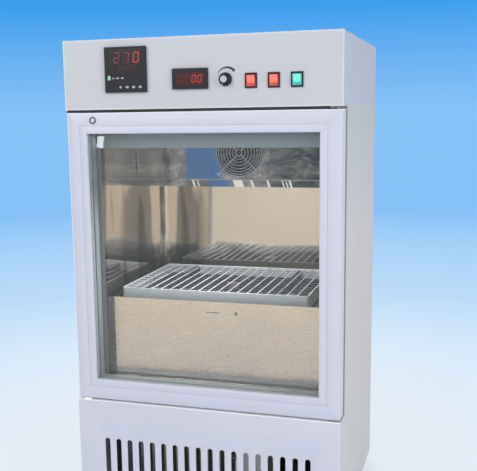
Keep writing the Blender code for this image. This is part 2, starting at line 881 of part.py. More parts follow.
def make_foam_insulation():
    """Foamed block round the liner, back, sides, top and bottom."""
    rim = liner_sheet + seam
    foam = box_piece("foam_insulation", (-inner_x, liner_front_y, lower_panel_top_z + shell_sheet),
                     (inner_x, back_y - shell_sheet - seam, control_floor_z - seam), "foam")
    cut_box(foam, (-chamber_width / 2 - rim, liner_front_y - overrun, chamber_floor_z - rim),
            (chamber_width / 2 + rim, liner_back_y + rim, down(chamber_top_drop) + rim))


# Door
def make_door_frame(door):
    """Frame of four mitred rails in one piece: step, sloping bead and glazing slot."""
    half_w = door_width / 2
    frame = box_piece("door_frame", (-half_w, front_y, door_bottom_z), (half_w, door_back_y, door_top_z),
                      "door_paint", door.location, door)
    edge = frame.modifiers.new("edge", "BEVEL")
    edge.width = bead_step
    edge.segments = 2
    cut_box(frame, (-glass_width / 2, front_y - overrun, door_middle_z - glass_height / 2),
            (glass_width / 2, door_back_y + overrun, door_middle_z + glass_height / 2))
    step = bead_width
    cut_box(frame, (-glass_width / 2 - step, front_y - overrun, door_middle_z - glass_height / 2 - step),
            (glass_width / 2 + step, front_y + bead_step, door_middle_z + glass_height / 2 + step))
    bead = bmesh.new()
    add_frustum(bead, (0, door_middle_z),
                (glass_width + 2 * bead_slope, glass_height + 2 * bead_slope),
                (glass_width - 2 * seam, glass_height - 2 * seam), front_y + bead_step - seam, glazing_y)
    cut(frame, bead)
    cut_box(frame, (-glass_width / 2 - pane_grip - seam, glazing_y,
                    door_middle_z - glass_height / 2 - pane_grip - seam),
            (glass_width / 2 + pane_grip + seam, glazing_y + glazing_depth,
             door_middle_z + glass_height / 2 + pane_grip + seam))
    cut_rod(frame, (lock_x, front_y - overrun, lock_z), (lock_x, door_back_y + overrun, lock_z),
            lock_sleeve_radius + seam)
    for low, high in ((door_top_z - hinge_pin_length - running_gap, door_top_z + overrun),
                      (door_bottom_z - overrun, door_bottom_z + hinge_pin_length + running_gap)):
        cut_rod(frame, (hinge_x, hinge_y, low), (hinge_x, hinge_y, high), hinge_pin_radius + running_gap)


def pane_box(y_near, y_far, grip):
    """Corners of a slab as large as the glass opening and its grip in the frame."""
    low = (-glass_width / 2 - grip, y_near, door_middle_z - glass_height / 2 - grip)
    high = (glass_width / 2 + grip, y_far, door_middle_z + glass_height / 2 + grip)
    return low, high


def make_glazing(door):
    """Two panes with a spacer frame between them."""
    outer_y = glazing_y + seam
    spacer_y = outer_y + pane_thickness + seam
    inner_y = spacer_y + pane_spacing + seam
    for name, y in (("outer_glass", outer_y), ("inner_glass", inner_y)):
        low, high = pane_box(y, y + pane_thickness, pane_grip)
        box_piece(name, low, high, "glass", door.location, door)
    low, high = pane_box(spacer_y, spacer_y + pane_spacing, pane_grip)
    spacer = box_piece("glazing_spacer", low, high, "cast_aluminium", door.location, door)
    low, high = pane_box(spacer_y - overrun, spacer_y + pane_spacing + overrun,
                         pane_grip - pane_spacer_width)
    cut_box(spacer, low, high)


def make_door_gasket(door):
    """Seal between the door's back and the chamber's front flange."""
    y_near = door_back_y + seam
    y_far = y_near + gasket_depth
    half_w = door_width / 2 - gasket_inset_side
    low_z = door_bottom_z + gasket_inset_top
    high_z = door_top_z - gasket_inset_top
    gasket = box_piece("door_gasket", (-half_w, y_near, low_z), (half_w, y_far, high_z),
                       "white_rubber", door.location, door)
    cut_box(gasket, (gasket_width - half_w, y_near - overrun, low_z + gasket_width),
            (half_w - gasket_width, y_far + overrun, high_z - gasket_width))


def make_lock(door):
    """Cam lock: escutcheon and sleeve, turning barrel, and the cam that hangs behind the door."""
    sleeve_end = -door_depth
    bore = lock_barrel_radius + running_gap
    place = (lock_x, front_y, lock_z)
    ring_top = lock_ring_height + seam
    sleeve = turned("lock_escutcheon",
                    [(bore, ring_top), (lock_ring_radius - lock_ring_height / 2, ring_top),
                     (lock_ring_radius, seam + lock_ring_height / 3), (lock_ring_radius, seam),
                     (lock_sleeve_radius, seam), (lock_sleeve_radius, sleeve_end),
                     (bore, sleeve_end), (bore, ring_top)],
                    "chrome", place, "FRONT", 24, door)
    sleeve.modifiers["turn"].use_normal_calculate = False
    lock = pivot_empty("lock_axis", place)
    lock.parent = door
    lock.location -= door.location
    barrel_front = -lock_barrel_recess
    cam_front = sleeve_end - cam_air
    cam_back = cam_front - cam_thickness
    barrel = turned("lock_cylinder",
                    [(0, barrel_front), (lock_barrel_radius, barrel_front),
                     (lock_barrel_radius, cam_front + seam), (cam_stem_radius, cam_front + seam),
                     (cam_stem_radius, cam_back), (0, cam_back)],
                    "chrome", place, "FRONT", 24)
    cut_box(barrel, (lock_x - key_slot_width / 2, front_y - overrun, lock_z - key_slot_length / 2),
            (lock_x + key_slot_width / 2, front_y + lock_barrel_recess + key_slot_depth,
             lock_z + key_slot_length / 2))
    ride_on(barrel, lock, door)
    cam = make_lock_cam(place, -cam_front, -cam_back)
    ride_on(cam, lock, door)


def ride_on(piece, holder, outer):
    """Parent a piece whose own place is the holder's, itself held by an outer empty."""
    piece.parent = holder
    piece.location = piece.location - holder.location - outer.location


def make_lock_cam(place, near, far):
    """Cam plate: round hub, narrow neck and wide pad, hanging with a slight lean."""
    neck = cam_neck_width / 2
    pad = cam_pad_width / 2
    pad_top = cam_pad_height - cam_length
    side = math.acos(neck / cam_hub_radius)
    outline = arc((0, 0), cam_hub_radius, -side, math.pi + side, 16)
    outline += [(-neck, pad_top + pad - neck), (-pad, pad_top), (-pad, -cam_length),
                (pad, -cam_length), (pad, pad_top), (neck, pad_top + pad - neck)]
    leaned = [(u * math.cos(cam_lean) + v * math.sin(cam_lean),
               v * math.cos(cam_lean) - u * math.sin(cam_lean)) for u, v in outline]
    hole = arc((0, 0), cam_stem_radius + seam, 0, 2 * math.pi, 16)[:-1]
    middle = (place[0], place[1] + (near + far) / 2, place[2])
    cam = plate_outline("lock_cam", [leaned, hole], far - near, "chrome", middle,
                        (math.radians(90), 0, 0))
    return cam


def make_lock_keeper():
    """Small bracket on the flange whose lip stands in front of the turned cam."""
    cam_front = door_back_y + cam_air
    low_x = lock_x + keeper_reach
    high_x = low_x + keeper_width
    web_z = lock_z + cam_neck_width / 2 + running_gap
    lip_y = cam_front - running_gap - seam - keeper_sheet
    keeper = box_piece("lock_keeper", (low_x, lip_y, web_z), (high_x, flange_y - seam, web_z + keeper_web),
                       "zinc_steel")
    fuse_box(keeper, (low_x, lip_y, lock_z - keeper_drop), (high_x, lip_y + keeper_sheet,
                                                           web_z + keeper_web / 2))


def make_hinge_brackets():
    """Plate and pin at the top and bottom of the door's right side."""
    low_x = hinge_x + hinge_plate_overhang - hinge_plate_width
    high_x = hinge_x + hinge_plate_overhang
    near_y = hinge_y - hinge_plate_overhang
    top_plate = (control_floor_z - seam - hinge_plate_thickness, control_floor_z - seam)
    low_plate = (lower_panel_top_z + seam, lower_panel_top_z + seam + hinge_plate_thickness)
    for name, (low_z, high_z), pin_end in (
            ("upper_hinge_bracket", top_plate, door_top_z - hinge_pin_length),
            ("lower_hinge_bracket", low_plate, door_bottom_z + hinge_pin_length)):
        bracket = box_piece(name, (low_x, near_y, low_z), (high_x, flange_y - seam, high_z), "zinc_steel")
        fuse_rod(bracket, (hinge_x, hinge_y, (low_z + high_z) / 2), (hinge_x, hinge_y, pin_end),
                 hinge_pin_radius)


def make_door():
    """All pieces that swing with the door."""
    door = pivot_empty("door_axis", (hinge_x, hinge_y, door_middle_z))
    make_door_frame(door)
    make_glazing(door)
    make_door_gasket(door)
    make_lock(door)


# Control instruments
def make_temp_controller():
    """Panel controller: bezel, body, recessed display window and a row of keys."""
    z = down(controller_drop)
    half = controller_size / 2
    body = controller_body_size / 2
    face_y = front_y - seam - controller_bezel_height
    case = box_piece("temp_controller_case", (controller_x - half, face_y, z - half),
                     (controller_x + half, front_y - seam, z + half), "black_plastic")
    edge = case.modifiers.new("edge", "BEVEL")
    edge.width = controller_window_depth / 2
    edge.segments = 2
    fuse_box(case, (controller_x - body, front_y - 2 * seam, z - body),
             (controller_x + body, front_y + controller_body_depth, z + body))
    window_z = z + controller_window_rise
    low = (controller_x - controller_window_width / 2, face_y, window_z - controller_window_height / 2)
    high = (controller_x + controller_window_width / 2, face_y + controller_window_depth,
            window_z + controller_window_height / 2)
    make_window("temp_controller_window", case, low, high, "smoked_window")
    key_z = z - key_row_drop
    pockets = bmesh.new()
    for number in range(key_count):
        x = controller_x + key_row_shift + (number - (key_count - 1) / 2) * key_pitch
        room = running_gap
        add_box(pockets, (x - key_width / 2 - room, face_y - overrun, key_z - key_height / 2 - room),
                (x + key_width / 2 + room, face_y + key_pocket_depth, key_z + key_height / 2 + room))
        key_low = (x - key_width / 2, face_y - key_proud, key_z - key_height / 2)
        key_back = face_y + key_pocket_depth - key_travel - seam
        key = box_piece(f"controller_key_{number + 1}", key_low,
                        (x + key_width / 2, key_back, key_z + key_height / 2), "grey_plastic",
                        (x, face_y, key_z))
        edge = key.modifiers.new("edge", "BEVEL")
        edge.width = running_gap
        edge.segments = 1
    cut(case, pockets)


def make_window(name, case, low, high, material):
    """Window plate that lies in a recess of its case, flush with the face."""
    cut_box(case, (low[0], low[1] - overrun, low[2]), high)
    box_piece(name, (low[0] + window_air, low[1], low[2] + window_air),
              (high[0] - window_air, high[1] - window_air, high[2] - window_air), material)


def make_speed_meter():
    """Panel meter for the shaking speed."""
    z = down(meter_drop)
    face_y = front_y - seam - meter_bezel_height
    case = box_piece("speed_meter_case", (meter_x - meter_width / 2, face_y, z - meter_height / 2),
                     (meter_x + meter_width / 2, front_y - seam, z + meter_height / 2), "black_plastic")
    edge = case.modifiers.new("edge", "BEVEL")
    edge.width = meter_window_depth / 2
    edge.segments = 2
    fuse_box(case, (meter_x - meter_body_width / 2, front_y - 2 * seam, z - meter_body_height / 2),
             (meter_x + meter_body_width / 2, front_y + meter_body_depth, z + meter_body_height / 2))
    low = (meter_x - meter_window_width / 2, face_y, z - meter_window_height / 2)
    high = (meter_x + meter_window_width / 2, face_y + meter_window_depth, z + meter_window_height / 2)
    make_window("speed_meter_window", case, low, high, "red_window")


def make_speed_control():
    """Potentiometer behind the panel, and the knob with its shaft."""
    place = (knob_x, front_y, down(knob_drop))
    bore = pot_shaft_radius + running_gap
    bore_end = -pot_bush_depth - pot_nut_height
    body_front = -shell_sheet - seam
    turned("speed_potentiometer",
           [(0, bore_end), (bore, bore_end), (bore, pot_nut_height + seam),
            (pot_nut_radius, pot_nut_height + seam), (pot_nut_radius, seam), (pot_bush_radius, seam),
            (pot_bush_radius, body_front), (pot_body_radius, body_front),
            (pot_body_radius, body_front - pot_body_depth), (0, body_front - pot_body_depth)],
           "zinc_steel", place, "FRONT", 24)
    skirt_low = knob_air + seam
    inside_radius = pot_nut_radius + knob_air
    inside_top = pot_nut_height + seam + knob_air
    knob = turned("speed_knob",
                  [(0, knob_reach), (knob_grip_radius - knob_air, knob_reach),
                   (knob_grip_radius, knob_reach - knob_air), (knob_grip_radius, knob_skirt_height),
                   (knob_skirt_radius - knob_air, knob_skirt_height - knob_air),
                   (knob_skirt_radius, skirt_low), (inside_radius, skirt_low),
                   (inside_radius, inside_top), (pot_shaft_radius, inside_top),
                   (pot_shaft_radius, bore_end + seam), (0, bore_end + seam)],
                  "black_plastic", place, "FRONT", 24)
    mark = bmesh.new()
    add_box(mark, (knob_x - knob_mark_width / 2, front_y - knob_reach - overrun, place[2]),
            (knob_x + knob_mark_width / 2, front_y - knob_reach + knob_mark_depth,
             place[2] + knob_grip_radius + overrun))
    bmesh.ops.rotate(mark, verts=mark.verts, cent=place, matrix=Matrix.Rotation(knob_rest_turn, 3, "Y"))
    cut(knob, mark)


def make_switches():
    """Three lit rocker switches in their housings."""
    body_w = switch_width / 2 - switch_body_inset
    body_h = switch_height / 2 - switch_body_inset
    face_y = front_y - seam - switch_bezel_height
    pocket_w = switch_width / 2 - switch_bezel_rim
    pocket_h = switch_height / 2 - switch_bezel_rim
    for number in range(switch_count):
        x = first_switch_x + number * switch_pitch
        housing = box_piece(f"switch_housing_{number + 1}",
                            (x - switch_width / 2, face_y, switch_z - switch_height / 2),
                            (x + switch_width / 2, front_y - seam, switch_z + switch_height / 2),
                            "black_plastic")
        edge = housing.modifiers.new("edge", "BEVEL")
        edge.width = switch_bezel_height / 3
        edge.segments = 2
        fuse_box(housing, (x - body_w, front_y - 2 * seam, switch_z - body_h),
                 (x + body_w, front_y + switch_body_depth, switch_z + body_h))
        cut_box(housing, (x - pocket_w, face_y - overrun, switch_z - pocket_h),
                (x + pocket_w, face_y + switch_pocket_depth, switch_z + pocket_h))
        color = "green_lens" if number == switch_count - 1 else "red_lens"
        make_rocker(f"rocker_{number + 1}", x, face_y, pocket_w, pocket_h, color)


def make_rocker(name, x, face_y, pocket_w, pocket_h, color):
    """Rocker with a shallow valley across its face, tilted to its on side."""
    half = pocket_h - rocker_air
    reach = half * math.tan(rocker_tilt)
    nose = half * rocker_nose_share
    outline = [(0, 0), (-reach, nose), (rocker_depth - reach, half), (rocker_depth, half / 2),
               (rocker_depth, -half / 2), (rocker_depth - reach, -half), (-reach, -nose)]
    tilted = [((u - rocker_pivot_depth) * math.cos(rocker_tilt) - v * math.sin(rocker_tilt),
               v * math.cos(rocker_tilt) + (u - rocker_pivot_depth) * math.sin(rocker_tilt))
              for u, v in outline]
    plate_outline(name, [tilted], 2 * (pocket_w - rocker_air), color,
                  (x, face_y + rocker_pivot_depth, switch_z), screen_axis_turn())


def make_power_board():
    """Circuit board on posts in the control box, with transformer, capacitor and terminals."""
    low_z = control_floor_z + shell_sheet + seam
    board_z = low_z + board_post_height
    top = board_z + board_thickness
    near = back(board_setback)
    left = board_x - board_width / 2
    right = board_x + board_width / 2
    board = box_piece("power_board", (left, near, board_z), (right, near + board_depth, top),
                      "circuit_green")
    posts = bmesh.new()
    for x in (left + 2 * board_post_radius, right - 2 * board_post_radius):
        for y in (near + 2 * board_post_radius, near + board_depth - 2 * board_post_radius):
            add_rod(posts, (x, y, low_z), (x, y, board_z + board_thickness / 2), board_post_radius, 8)
    fuse(board, posts)
    inside = board_z + board_thickness / 2
    fuse_box(board, (left + transformer_size / 2, near + transformer_size / 2, inside),
             (left + transformer_size * 3 / 2, near + transformer_size * 3 / 2, top + transformer_size))
    fuse_box(board, (right - transformer_size, near + terminal_strip_depth, inside),
             (right - terminal_strip_depth, near + 2 * terminal_strip_depth, top + terminal_strip_height))
    fuse_rod(board, (right - 2 * capacitor_radius, near + board_depth - 2 * capacitor_radius, inside),
             (right - 2 * capacitor_radius, near + board_depth - 2 * capacitor_radius,
              top + capacitor_height), capacitor_radius, 20)


def clear_liner_corners(target, low_z, high_z):
    """Notch a piece that reaches the chamber's back, so that it clears the round rear corners."""
    notches = bmesh.new()
    for side in (-1, 1):
        edge = side * (chamber_width / 2 - chamber_corner_radius)
        outside = side * (chamber_width / 2 + overrun)
        add_box(notches, (min(edge, outside), liner_back_y - chamber_corner_radius, low_z),
                (max(edge, outside), liner_back_y + overrun, high_z))
    cut(target, notches)


# Air handling
def make_air_duct_cover():
    """Folded cover across the chamber's back: fan opening, shadow lip and outlet slots."""
    half = chamber_width / 2 - cover_wall_air
    top = down(chamber_top_drop) - cover_wall_air
    bottom = down(duct_bottom_drop)
    lip = down(duct_lip_drop)
    lip_y = duct_y + duct_lip_step
    duct = box_piece("air_duct_cover", (-half, duct_y, bottom), (half, duct_y + duct_sheet, top),
                     "stainless")
    fuse_box(duct, (-half, duct_y + duct_sheet / 2, bottom), (half, lip_y + duct_sheet,
                                                             bottom + duct_sheet))
    fuse_box(duct, (-half, lip_y, lip), (half, lip_y + duct_sheet, bottom + duct_sheet / 2))
    fuse_box(duct, (-half, lip_y + duct_sheet / 2, lip), (half, liner_back_y - seam, lip + duct_sheet))
    cut_rod(duct, (fan_x, duct_y - overrun, fan_z), (fan_x, duct_y + duct_sheet + overrun, fan_z),
            fan_bore_radius, 40)
    slots = bmesh.new()
    middle_y = (lip_y + liner_back_y) / 2
    for number in range(duct_slot_count):
        x = (number - (duct_slot_count - 1) / 2) * duct_slot_pitch
        add_box(slots, (x - duct_slot_width / 2, middle_y - duct_slot_depth / 2, lip - overrun),
                (x + duct_slot_width / 2, middle_y + duct_slot_depth / 2, lip + duct_sheet + overrun))
    cut(duct, slots)
    clear_liner_corners(duct, lip - overrun, lip + duct_sheet + overrun)


def make_fan_guard():
    """Wire guard of round rings on four crossed legs with eyes."""
    wire_y = duct_y - guard_stand_off
    leg_y = wire_y + guard_wire_radius
    hub_front = wire_y - guard_wire_radius - seam
    hub = bmesh.new()
    add_rod(hub, (fan_x, hub_front, fan_z), (fan_x, leg_y + guard_leg_wire_radius, fan_z),
            guard_hub_radius, 12)
    guard = solid("fan_guard", hub, "chrome")
    reach = guard_eye_reach * math.sqrt(0.5)
    start = guard_hub_radius / 2
    legs = bmesh.new()
    eyes = bmesh.new()
    for side in (-1, 1):
        for rise in (-1, 1):
            add_rod(legs, (fan_x + side * start, leg_y, fan_z + rise * start),
                    (fan_x + side * reach, leg_y, fan_z + rise * reach), guard_leg_wire_radius, 5)
            x = fan_x + side * (reach + seam)
            z = fan_z + rise * (reach + seam)
            add_rod(eyes, (x, hub_front, z), (x, duct_y - seam, z), guard_eye_radius, 8)
    fuse(guard, legs)
    fuse(guard, eyes)
    rings = bmesh.new()
    for number in range(guard_ring_count):
        radius = guard_outer_radius - guard_wire_radius - number * guard_ring_pitch
        sides = guard_ring_sides - 2 * number
        add_ring(rings, (fan_x, wire_y, fan_z), radius, guard_wire_radius, sides)
    fuse(guard, rings)


def add_ring(mesh, middle, radius, wire_radius, sides):
    """Ring of square wire about Y: its section turned round in equal steps."""
    section = [(radius - wire_radius, -wire_radius), (radius + wire_radius, -wire_radius),
               (radius + wire_radius, wire_radius), (radius - wire_radius, wire_radius)]
    verts = [mesh.verts.new((middle[0] + r, middle[1] + depth, middle[2])) for r, depth in section]
    edges = [mesh.edges.new((verts[i], verts[(i + 1) % len(verts)])) for i in range(len(verts))]
    before = set(mesh.faces)
    bmesh.ops.spin(mesh, geom=verts + edges, cent=middle, axis=(0, 1, 0), angle=2 * math.pi,
                   steps=sides, use_merge=True, use_duplicate=False)
    made = [face for face in mesh.faces if face not in before]
    ring = list({vert for face in made for vert in face.verts})
    turn = Matrix.Rotation(guard_ring_turn_share * 2 * math.pi / sides, 3, "Y")
    bmesh.ops.rotate(mesh, verts=ring, cent=middle, matrix=turn)
    bmesh.ops.remove_doubles(mesh, verts=ring, dist=0.01 * MM)
    bmesh.ops.recalc_face_normals(mesh, faces=mesh.faces)


def make_fan():
    """Axial fan behind the duct's opening: square frame with its stator, and the bladed rotor."""
    near = duct_y + duct_sheet + seam
    far = near + fan_frame_depth
    half = fan_frame_size / 2
    stator_y = far - fan_stator_depth
    frame = box_piece("fan_frame", (fan_x - half, near, fan_z - half), (fan_x + half, far, fan_z + half),
                      "black_plastic")
    cut_rod(frame, (fan_x, near - overrun, fan_z), (fan_x, far + overrun, fan_z), fan_bore_radius, 40)
    middle = fan_stator_depth * fan_strut_share
    struts = bmesh.new()
    add_box(struts, (fan_x - half + running_gap, stator_y + middle - fan_blade_thickness,
                     fan_z - fan_strut_width / 2),
            (fan_x + half - running_gap, stator_y + middle + fan_blade_thickness,
             fan_z + fan_strut_width / 2))
    fuse(frame, struts)
    fuse_box(frame, (fan_x - fan_strut_width / 2, stator_y + middle - fan_blade_thickness,
                     fan_z - half + running_gap),
             (fan_x + fan_strut_width / 2, stator_y + middle + fan_blade_thickness,
              fan_z + half - running_gap))
    fuse_rod(frame, (fan_x, stator_y, fan_z), (fan_x, far, fan_z), fan_hub_radius, 24)
    bore_end = stator_y + fan_stator_depth / 2
    cut_rod(frame, (fan_x, stator_y - overrun, fan_z), (fan_x, bore_end + seam, fan_z),
            fan_shaft_radius + running_gap, 16)
    make_fan_rotor(near + running_gap + guard_wire_radius, stator_y, bore_end)


def make_fan_rotor(near, stator_y, bore_end):
    """Hub with slanted blades, turning about Y on a short shaft in the stator."""
    hub_back = near + fan_rotor_depth
    hub = bmesh.new()
    add_rod(hub, (fan_x, near, fan_z), (fan_x, hub_back, fan_z), fan_hub_radius, 28)
    rotor = solid("fan_rotor", hub, "black_plastic", (fan_x, near, fan_z))
    inner = fan_hub_radius - fan_blade_thickness
    outer = fan_bore_radius - fan_tip_air
    blades = bmesh.new()
    for number in range(fan_blade_count):
        start = set(blades.verts)
        add_box(blades, (inner, -fan_blade_chord / 2, -fan_blade_thickness / 2),
                (outer, fan_blade_chord / 2, fan_blade_thickness / 2))
        fresh = [v for v in blades.verts if v not in start]
        slant = Matrix.Rotation(fan_blade_pitch, 4, "X")
        spread = Matrix.Rotation(2 * math.pi * number / fan_blade_count, 4, "Y")
        place = Matrix.Translation((fan_x, (near + hub_back) / 2, fan_z))
        bmesh.ops.transform(blades, matrix=place @ spread @ slant, verts=fresh)
    fuse(rotor, blades)
    fuse_rod(rotor, (fan_x, hub_back - running_gap, fan_z), (fan_x, bore_end, fan_z), fan_shaft_radius, 16)


def make_heater_coil():
    """Finned-tube heater bent into level passes, with its ends let into the chamber's back."""
    y = back(heater_setback)
    end_y = liner_back_y - seam
    half = heater_width / 2
    bend = heater_pass_pitch / 2
    first_z = down(heater_top_drop)
    points = [(-half - bend, end_y, first_z), (-half - bend, y, first_z)]
    for number in range(heater_pass_count):
        z = first_z - number * heater_pass_pitch
        side = 1 if number % 2 == 0 else -1
        points.append((side * half, y, z))
        if number < heater_pass_count - 1:
            turns = [math.pi / 2 - math.pi * step / 6 for step in range(1, 6)]
            points += [(side * (half + bend * math.cos(a)), y, z - bend + bend * math.sin(a))
                       for a in turns]
            points.append((side * half, y, z - heater_pass_pitch))
    last = points[-1]
    points.append((last[0] - bend, y, last[2]))
    points.append((last[0] - bend, end_y, last[2]))
    tube("heater_coil", points, heater_tube_radius, "zinc_steel")


def add_finned_cuts(target, low, high, fin_count, fin_gap, end_plate):
    """Upright slots from the front and back of a block, which leave thin fins and a core."""
    core = (high[1] - low[1]) / 5
    middle_y = (low[1] + high[1]) / 2
    span = high[0] - low[0] - 2 * end_plate
    pitch = span / fin_count
    for near, far in ((low[1] - overrun, middle_y - core / 2), (middle_y + core / 2, high[1] + overrun)):
        slots = bmesh.new()
        for number in range(fin_count):
            x = low[0] + end_plate + (number + 0.5) * pitch
            add_box(slots, (x - fin_gap / 2, near, low[2] + end_plate),
                    (x + fin_gap / 2, far, high[2] - end_plate))
        cut(target, slots)


def make_evaporator():
    """Cooling coil block on the chamber's back wall."""
    high_y = liner_back_y - seam
    low = (-evaporator_width / 2, high_y - evaporator_depth, down(evaporator_top_drop) - evaporator_height)
    high = (evaporator_width / 2, high_y, down(evaporator_top_drop))
    block = box_piece("evaporator", low, high, "cast_aluminium")
    add_finned_cuts(block, low, high, evaporator_fin_count, evaporator_fin_gap,
                    evaporator_tube_radius)
    tubes = bmesh.new()
    middle_y = (low[1] + high[1]) / 2
    for share in (0.25, 0.75):
        z = low[2] + share * evaporator_height
        add_rod(tubes, (high[0] - evaporator_tube_radius, middle_y, z),
                (high[0] + 2 * evaporator_tube_radius, middle_y, z), evaporator_tube_radius, 12)
    fuse(block, tubes)


# Shaking platform and its drive
def make_platform(platform):
    """Tray with bushes for the crank pins, and the wire rack that flasks stand on."""
    low = (-tray_width / 2, platform_y - tray_depth / 2, tray_bottom_z)
    high = (tray_width / 2, platform_y + tray_depth / 2, platform_top_z)
    tray = box_piece("platform_tray", low, high, "tray_grey", platform.location, platform)
    edge = tray.modifiers.new("edge", "BEVEL")
    edge.width = tray_wall / 3
    edge.segments = 2
    inner_low = (low[0] + tray_wall, low[1] + tray_wall, low[2] + tray_floor)
    inner_high = (high[0] - tray_wall, high[1] - tray_wall, high[2] + overrun)
    cut_box(tray, inner_low, inner_high)
    floor_mid = low[2] + tray_floor / 2
    rail_top = platform_top_z - 4 * wire_radius + wire_sink - seam
    rails = bmesh.new()
    for side in (-1, 1):
        x = side * rack_rail_share * tray_width / 2
        add_box(rails, (x - rack_rail_width / 2, inner_low[1] - tray_wall / 2, floor_mid),
                (x + rack_rail_width / 2, inner_high[1] + tray_wall / 2, rail_top))
    fuse(tray, rails)
    bushes = bmesh.new()
    bores = bmesh.new()
    for x, y in pin_places():
        add_rod(bushes, (x, y, floor_mid), (x, y, low[2] + bush_height), bush_radius, 16)
        add_rod(bores, (x, y, low[2] - overrun), (x, y, pin_top_z + running_gap),
                pin_radius + running_gap, 16)
    fuse(tray, bushes)
    cut(tray, bores)
    make_wire_rack(platform, inner_low, inner_high)


def pin_places():
    """Where the crank pins stand at rest, all shifted alike by the orbit's radius."""
    places = [main_pin_place]
    places += [(x, y + orbit_radius) for x, y in idler_places]
    return places


def make_wire_rack(platform, low, high):
    """Grid of straight wires: front-to-back wires on top, fused to the cross wires under them."""
    cross_z = platform_top_z - 3 * wire_radius + wire_sink
    upper_z = cross_z + 2 * wire_radius - wire_sink
    left = low[0] + wire_end_gap
    right = high[0] - wire_end_gap
    near = low[1] + wire_end_gap
    far = high[1] - wire_end_gap
    cross = bmesh.new()
    for number in range(wire_rows):
        y = low[1] + (high[1] - low[1]) * (number + 1) / (wire_rows + 1)
        add_rod(cross, (left, y, cross_z), (right, y, cross_z), wire_radius, 4)
    rack = solid("platform_wire_rack", cross, "chrome", platform.location, platform)
    along = bmesh.new()
    for number in range(wire_columns):
        x = low[0] + (high[0] - low[0]) * (number + 1) / (wire_columns + 1)
        add_rod(along, (x, near, upper_z), (x, far, upper_z), wire_radius, 4)
    fuse(rack, along)


def make_main_crank():
    """Main shaft with the big pulley, crank disc and eccentric pin."""
    x, y = main_crank_place
    bearing_top = pulley_bottom_z - bearing_air
    shaft_low = drive_base_top_z
    disc_low = crank_top_z - crank_disc_height
    profile = [(0, crank_top_z), (crank_disc_radius, crank_top_z), (crank_disc_radius, disc_low),
               (pulley_hub_radius, disc_low), (pulley_hub_radius, pulley_top_z),
               (big_pulley_radius, pulley_top_z), (big_pulley_radius, pulley_bottom_z),
               (pulley_hub_radius, pulley_bottom_z), (pulley_hub_radius, bearing_top + running_gap),
               (crank_shaft_radius, bearing_top + running_gap), (crank_shaft_radius, shaft_low),
               (0, shaft_low)]
    crank = turned("main_crank", [(r, z - shaft_low) for r, z in profile], "zinc_steel",
                   (x, y, shaft_low), sides=32)
    fuse_rod(crank, (*main_pin_place, disc_low + crank_disc_height / 2), (*main_pin_place, pin_top_z),
             pin_radius, 16)


def make_idler_cranks():
    """Three idler cranks that keep the platform level and square to the cabinet."""
    bearing_top = crank_top_z - crank_disc_height - bearing_air
    shaft_low = drive_base_top_z
    disc_low = crank_top_z - crank_disc_height
    profile = [(0, crank_top_z), (crank_disc_radius, crank_top_z), (crank_disc_radius, disc_low),
               (pulley_hub_radius, disc_low), (pulley_hub_radius, bearing_top + running_gap),
               (crank_shaft_radius, bearing_top + running_gap), (crank_shaft_radius, shaft_low),
               (0, shaft_low)]
    for number, (x, y) in enumerate(idler_places, start=1):
        crank = turned(f"idler_crank_{number}", [(r, z - shaft_low) for r, z in profile], "zinc_steel",
                       (x, y, shaft_low), sides=20)
        pin = (x, y + orbit_radius)
        fuse_rod(crank, (*pin, disc_low + crank_disc_height / 2), (*pin, pin_top_z), pin_radius, 16)


def make_drive_base():
    """Cast base on the chamber floor with a bearing housing for each crank."""
    low = (-drive_base_width / 2, platform_y - drive_base_depth / 2, chamber_floor_z + seam)
    high = (drive_base_width / 2, platform_y + drive_base_depth / 2, drive_base_top_z)
    base = box_piece("drive_base", low, high, "cast_aluminium")
    inside = drive_base_top_z - drive_base_thickness / 2
    main_top = pulley_bottom_z - bearing_air
    idler_top = crank_top_z - crank_disc_height - bearing_air
    housings = bmesh.new()
    bores = bmesh.new()
    for (x, y), top in [(main_crank_place, main_top)] + [(place, idler_top) for place in idler_places]:
        add_rod(housings, (x, y, inside), (x, y, top), bearing_radius, 20)
        add_rod(bores, (x, y, drive_base_top_z - running_gap), (x, y, top + overrun),
                crank_shaft_radius + running_gap, 20)
    fuse(base, housings)
    cut(base, bores)


def make_drive_motor():
    """Upright motor on the drive base, with its pulley on top."""
    x, y = motor_place
    low_z = drive_base_top_z + seam
    body_top = low_z + motor_height
    bore = motor_shaft_radius + running_gap
    bore_end = body_top - motor_shaft_depth
    profile = [(0, bore_end), (bore, bore_end), (bore, body_top), (motor_radius, body_top),
               (motor_radius, low_z + motor_flange_height),
               (motor_flange_radius, low_z + motor_flange_height), (motor_flange_radius, low_z), (0, low_z)]
    turned("drive_motor", [(r, z - low_z) for r, z in profile], "black_enamel", (x, y, low_z), sides=24)
    shaft_low = bore_end + running_gap
    profile = [(0, pulley_top_z), (small_pulley_radius, pulley_top_z),
               (small_pulley_radius, pulley_bottom_z), (motor_shaft_radius, pulley_bottom_z),
               (motor_shaft_radius, shaft_low), (0, shaft_low)]
    turned("motor_pulley", [(r, z - shaft_low) for r, z in profile], "cast_aluminium", (x, y, shaft_low),
           sides=24)


def belt_line(gap):
    """Closed line round both pulleys at a distance from their rims: two arcs and two tangents."""
    dx = motor_place[0] - main_crank_place[0]
    dy = motor_place[1] - main_crank_place[1]
    distance = math.hypot(dx, dy)
    heading = math.atan2(dy, dx)
    lean = math.acos((big_pulley_radius - small_pulley_radius) / distance)
    small_end = (motor_place[0] - main_crank_place[0], motor_place[1] - main_crank_place[1])
    line = arc(small_end, small_pulley_radius + gap, heading - lean, heading + lean, 10)
    line += arc((0, 0), big_pulley_radius + gap, heading + lean, heading - lean + 2 * math.pi, 26)
    return line


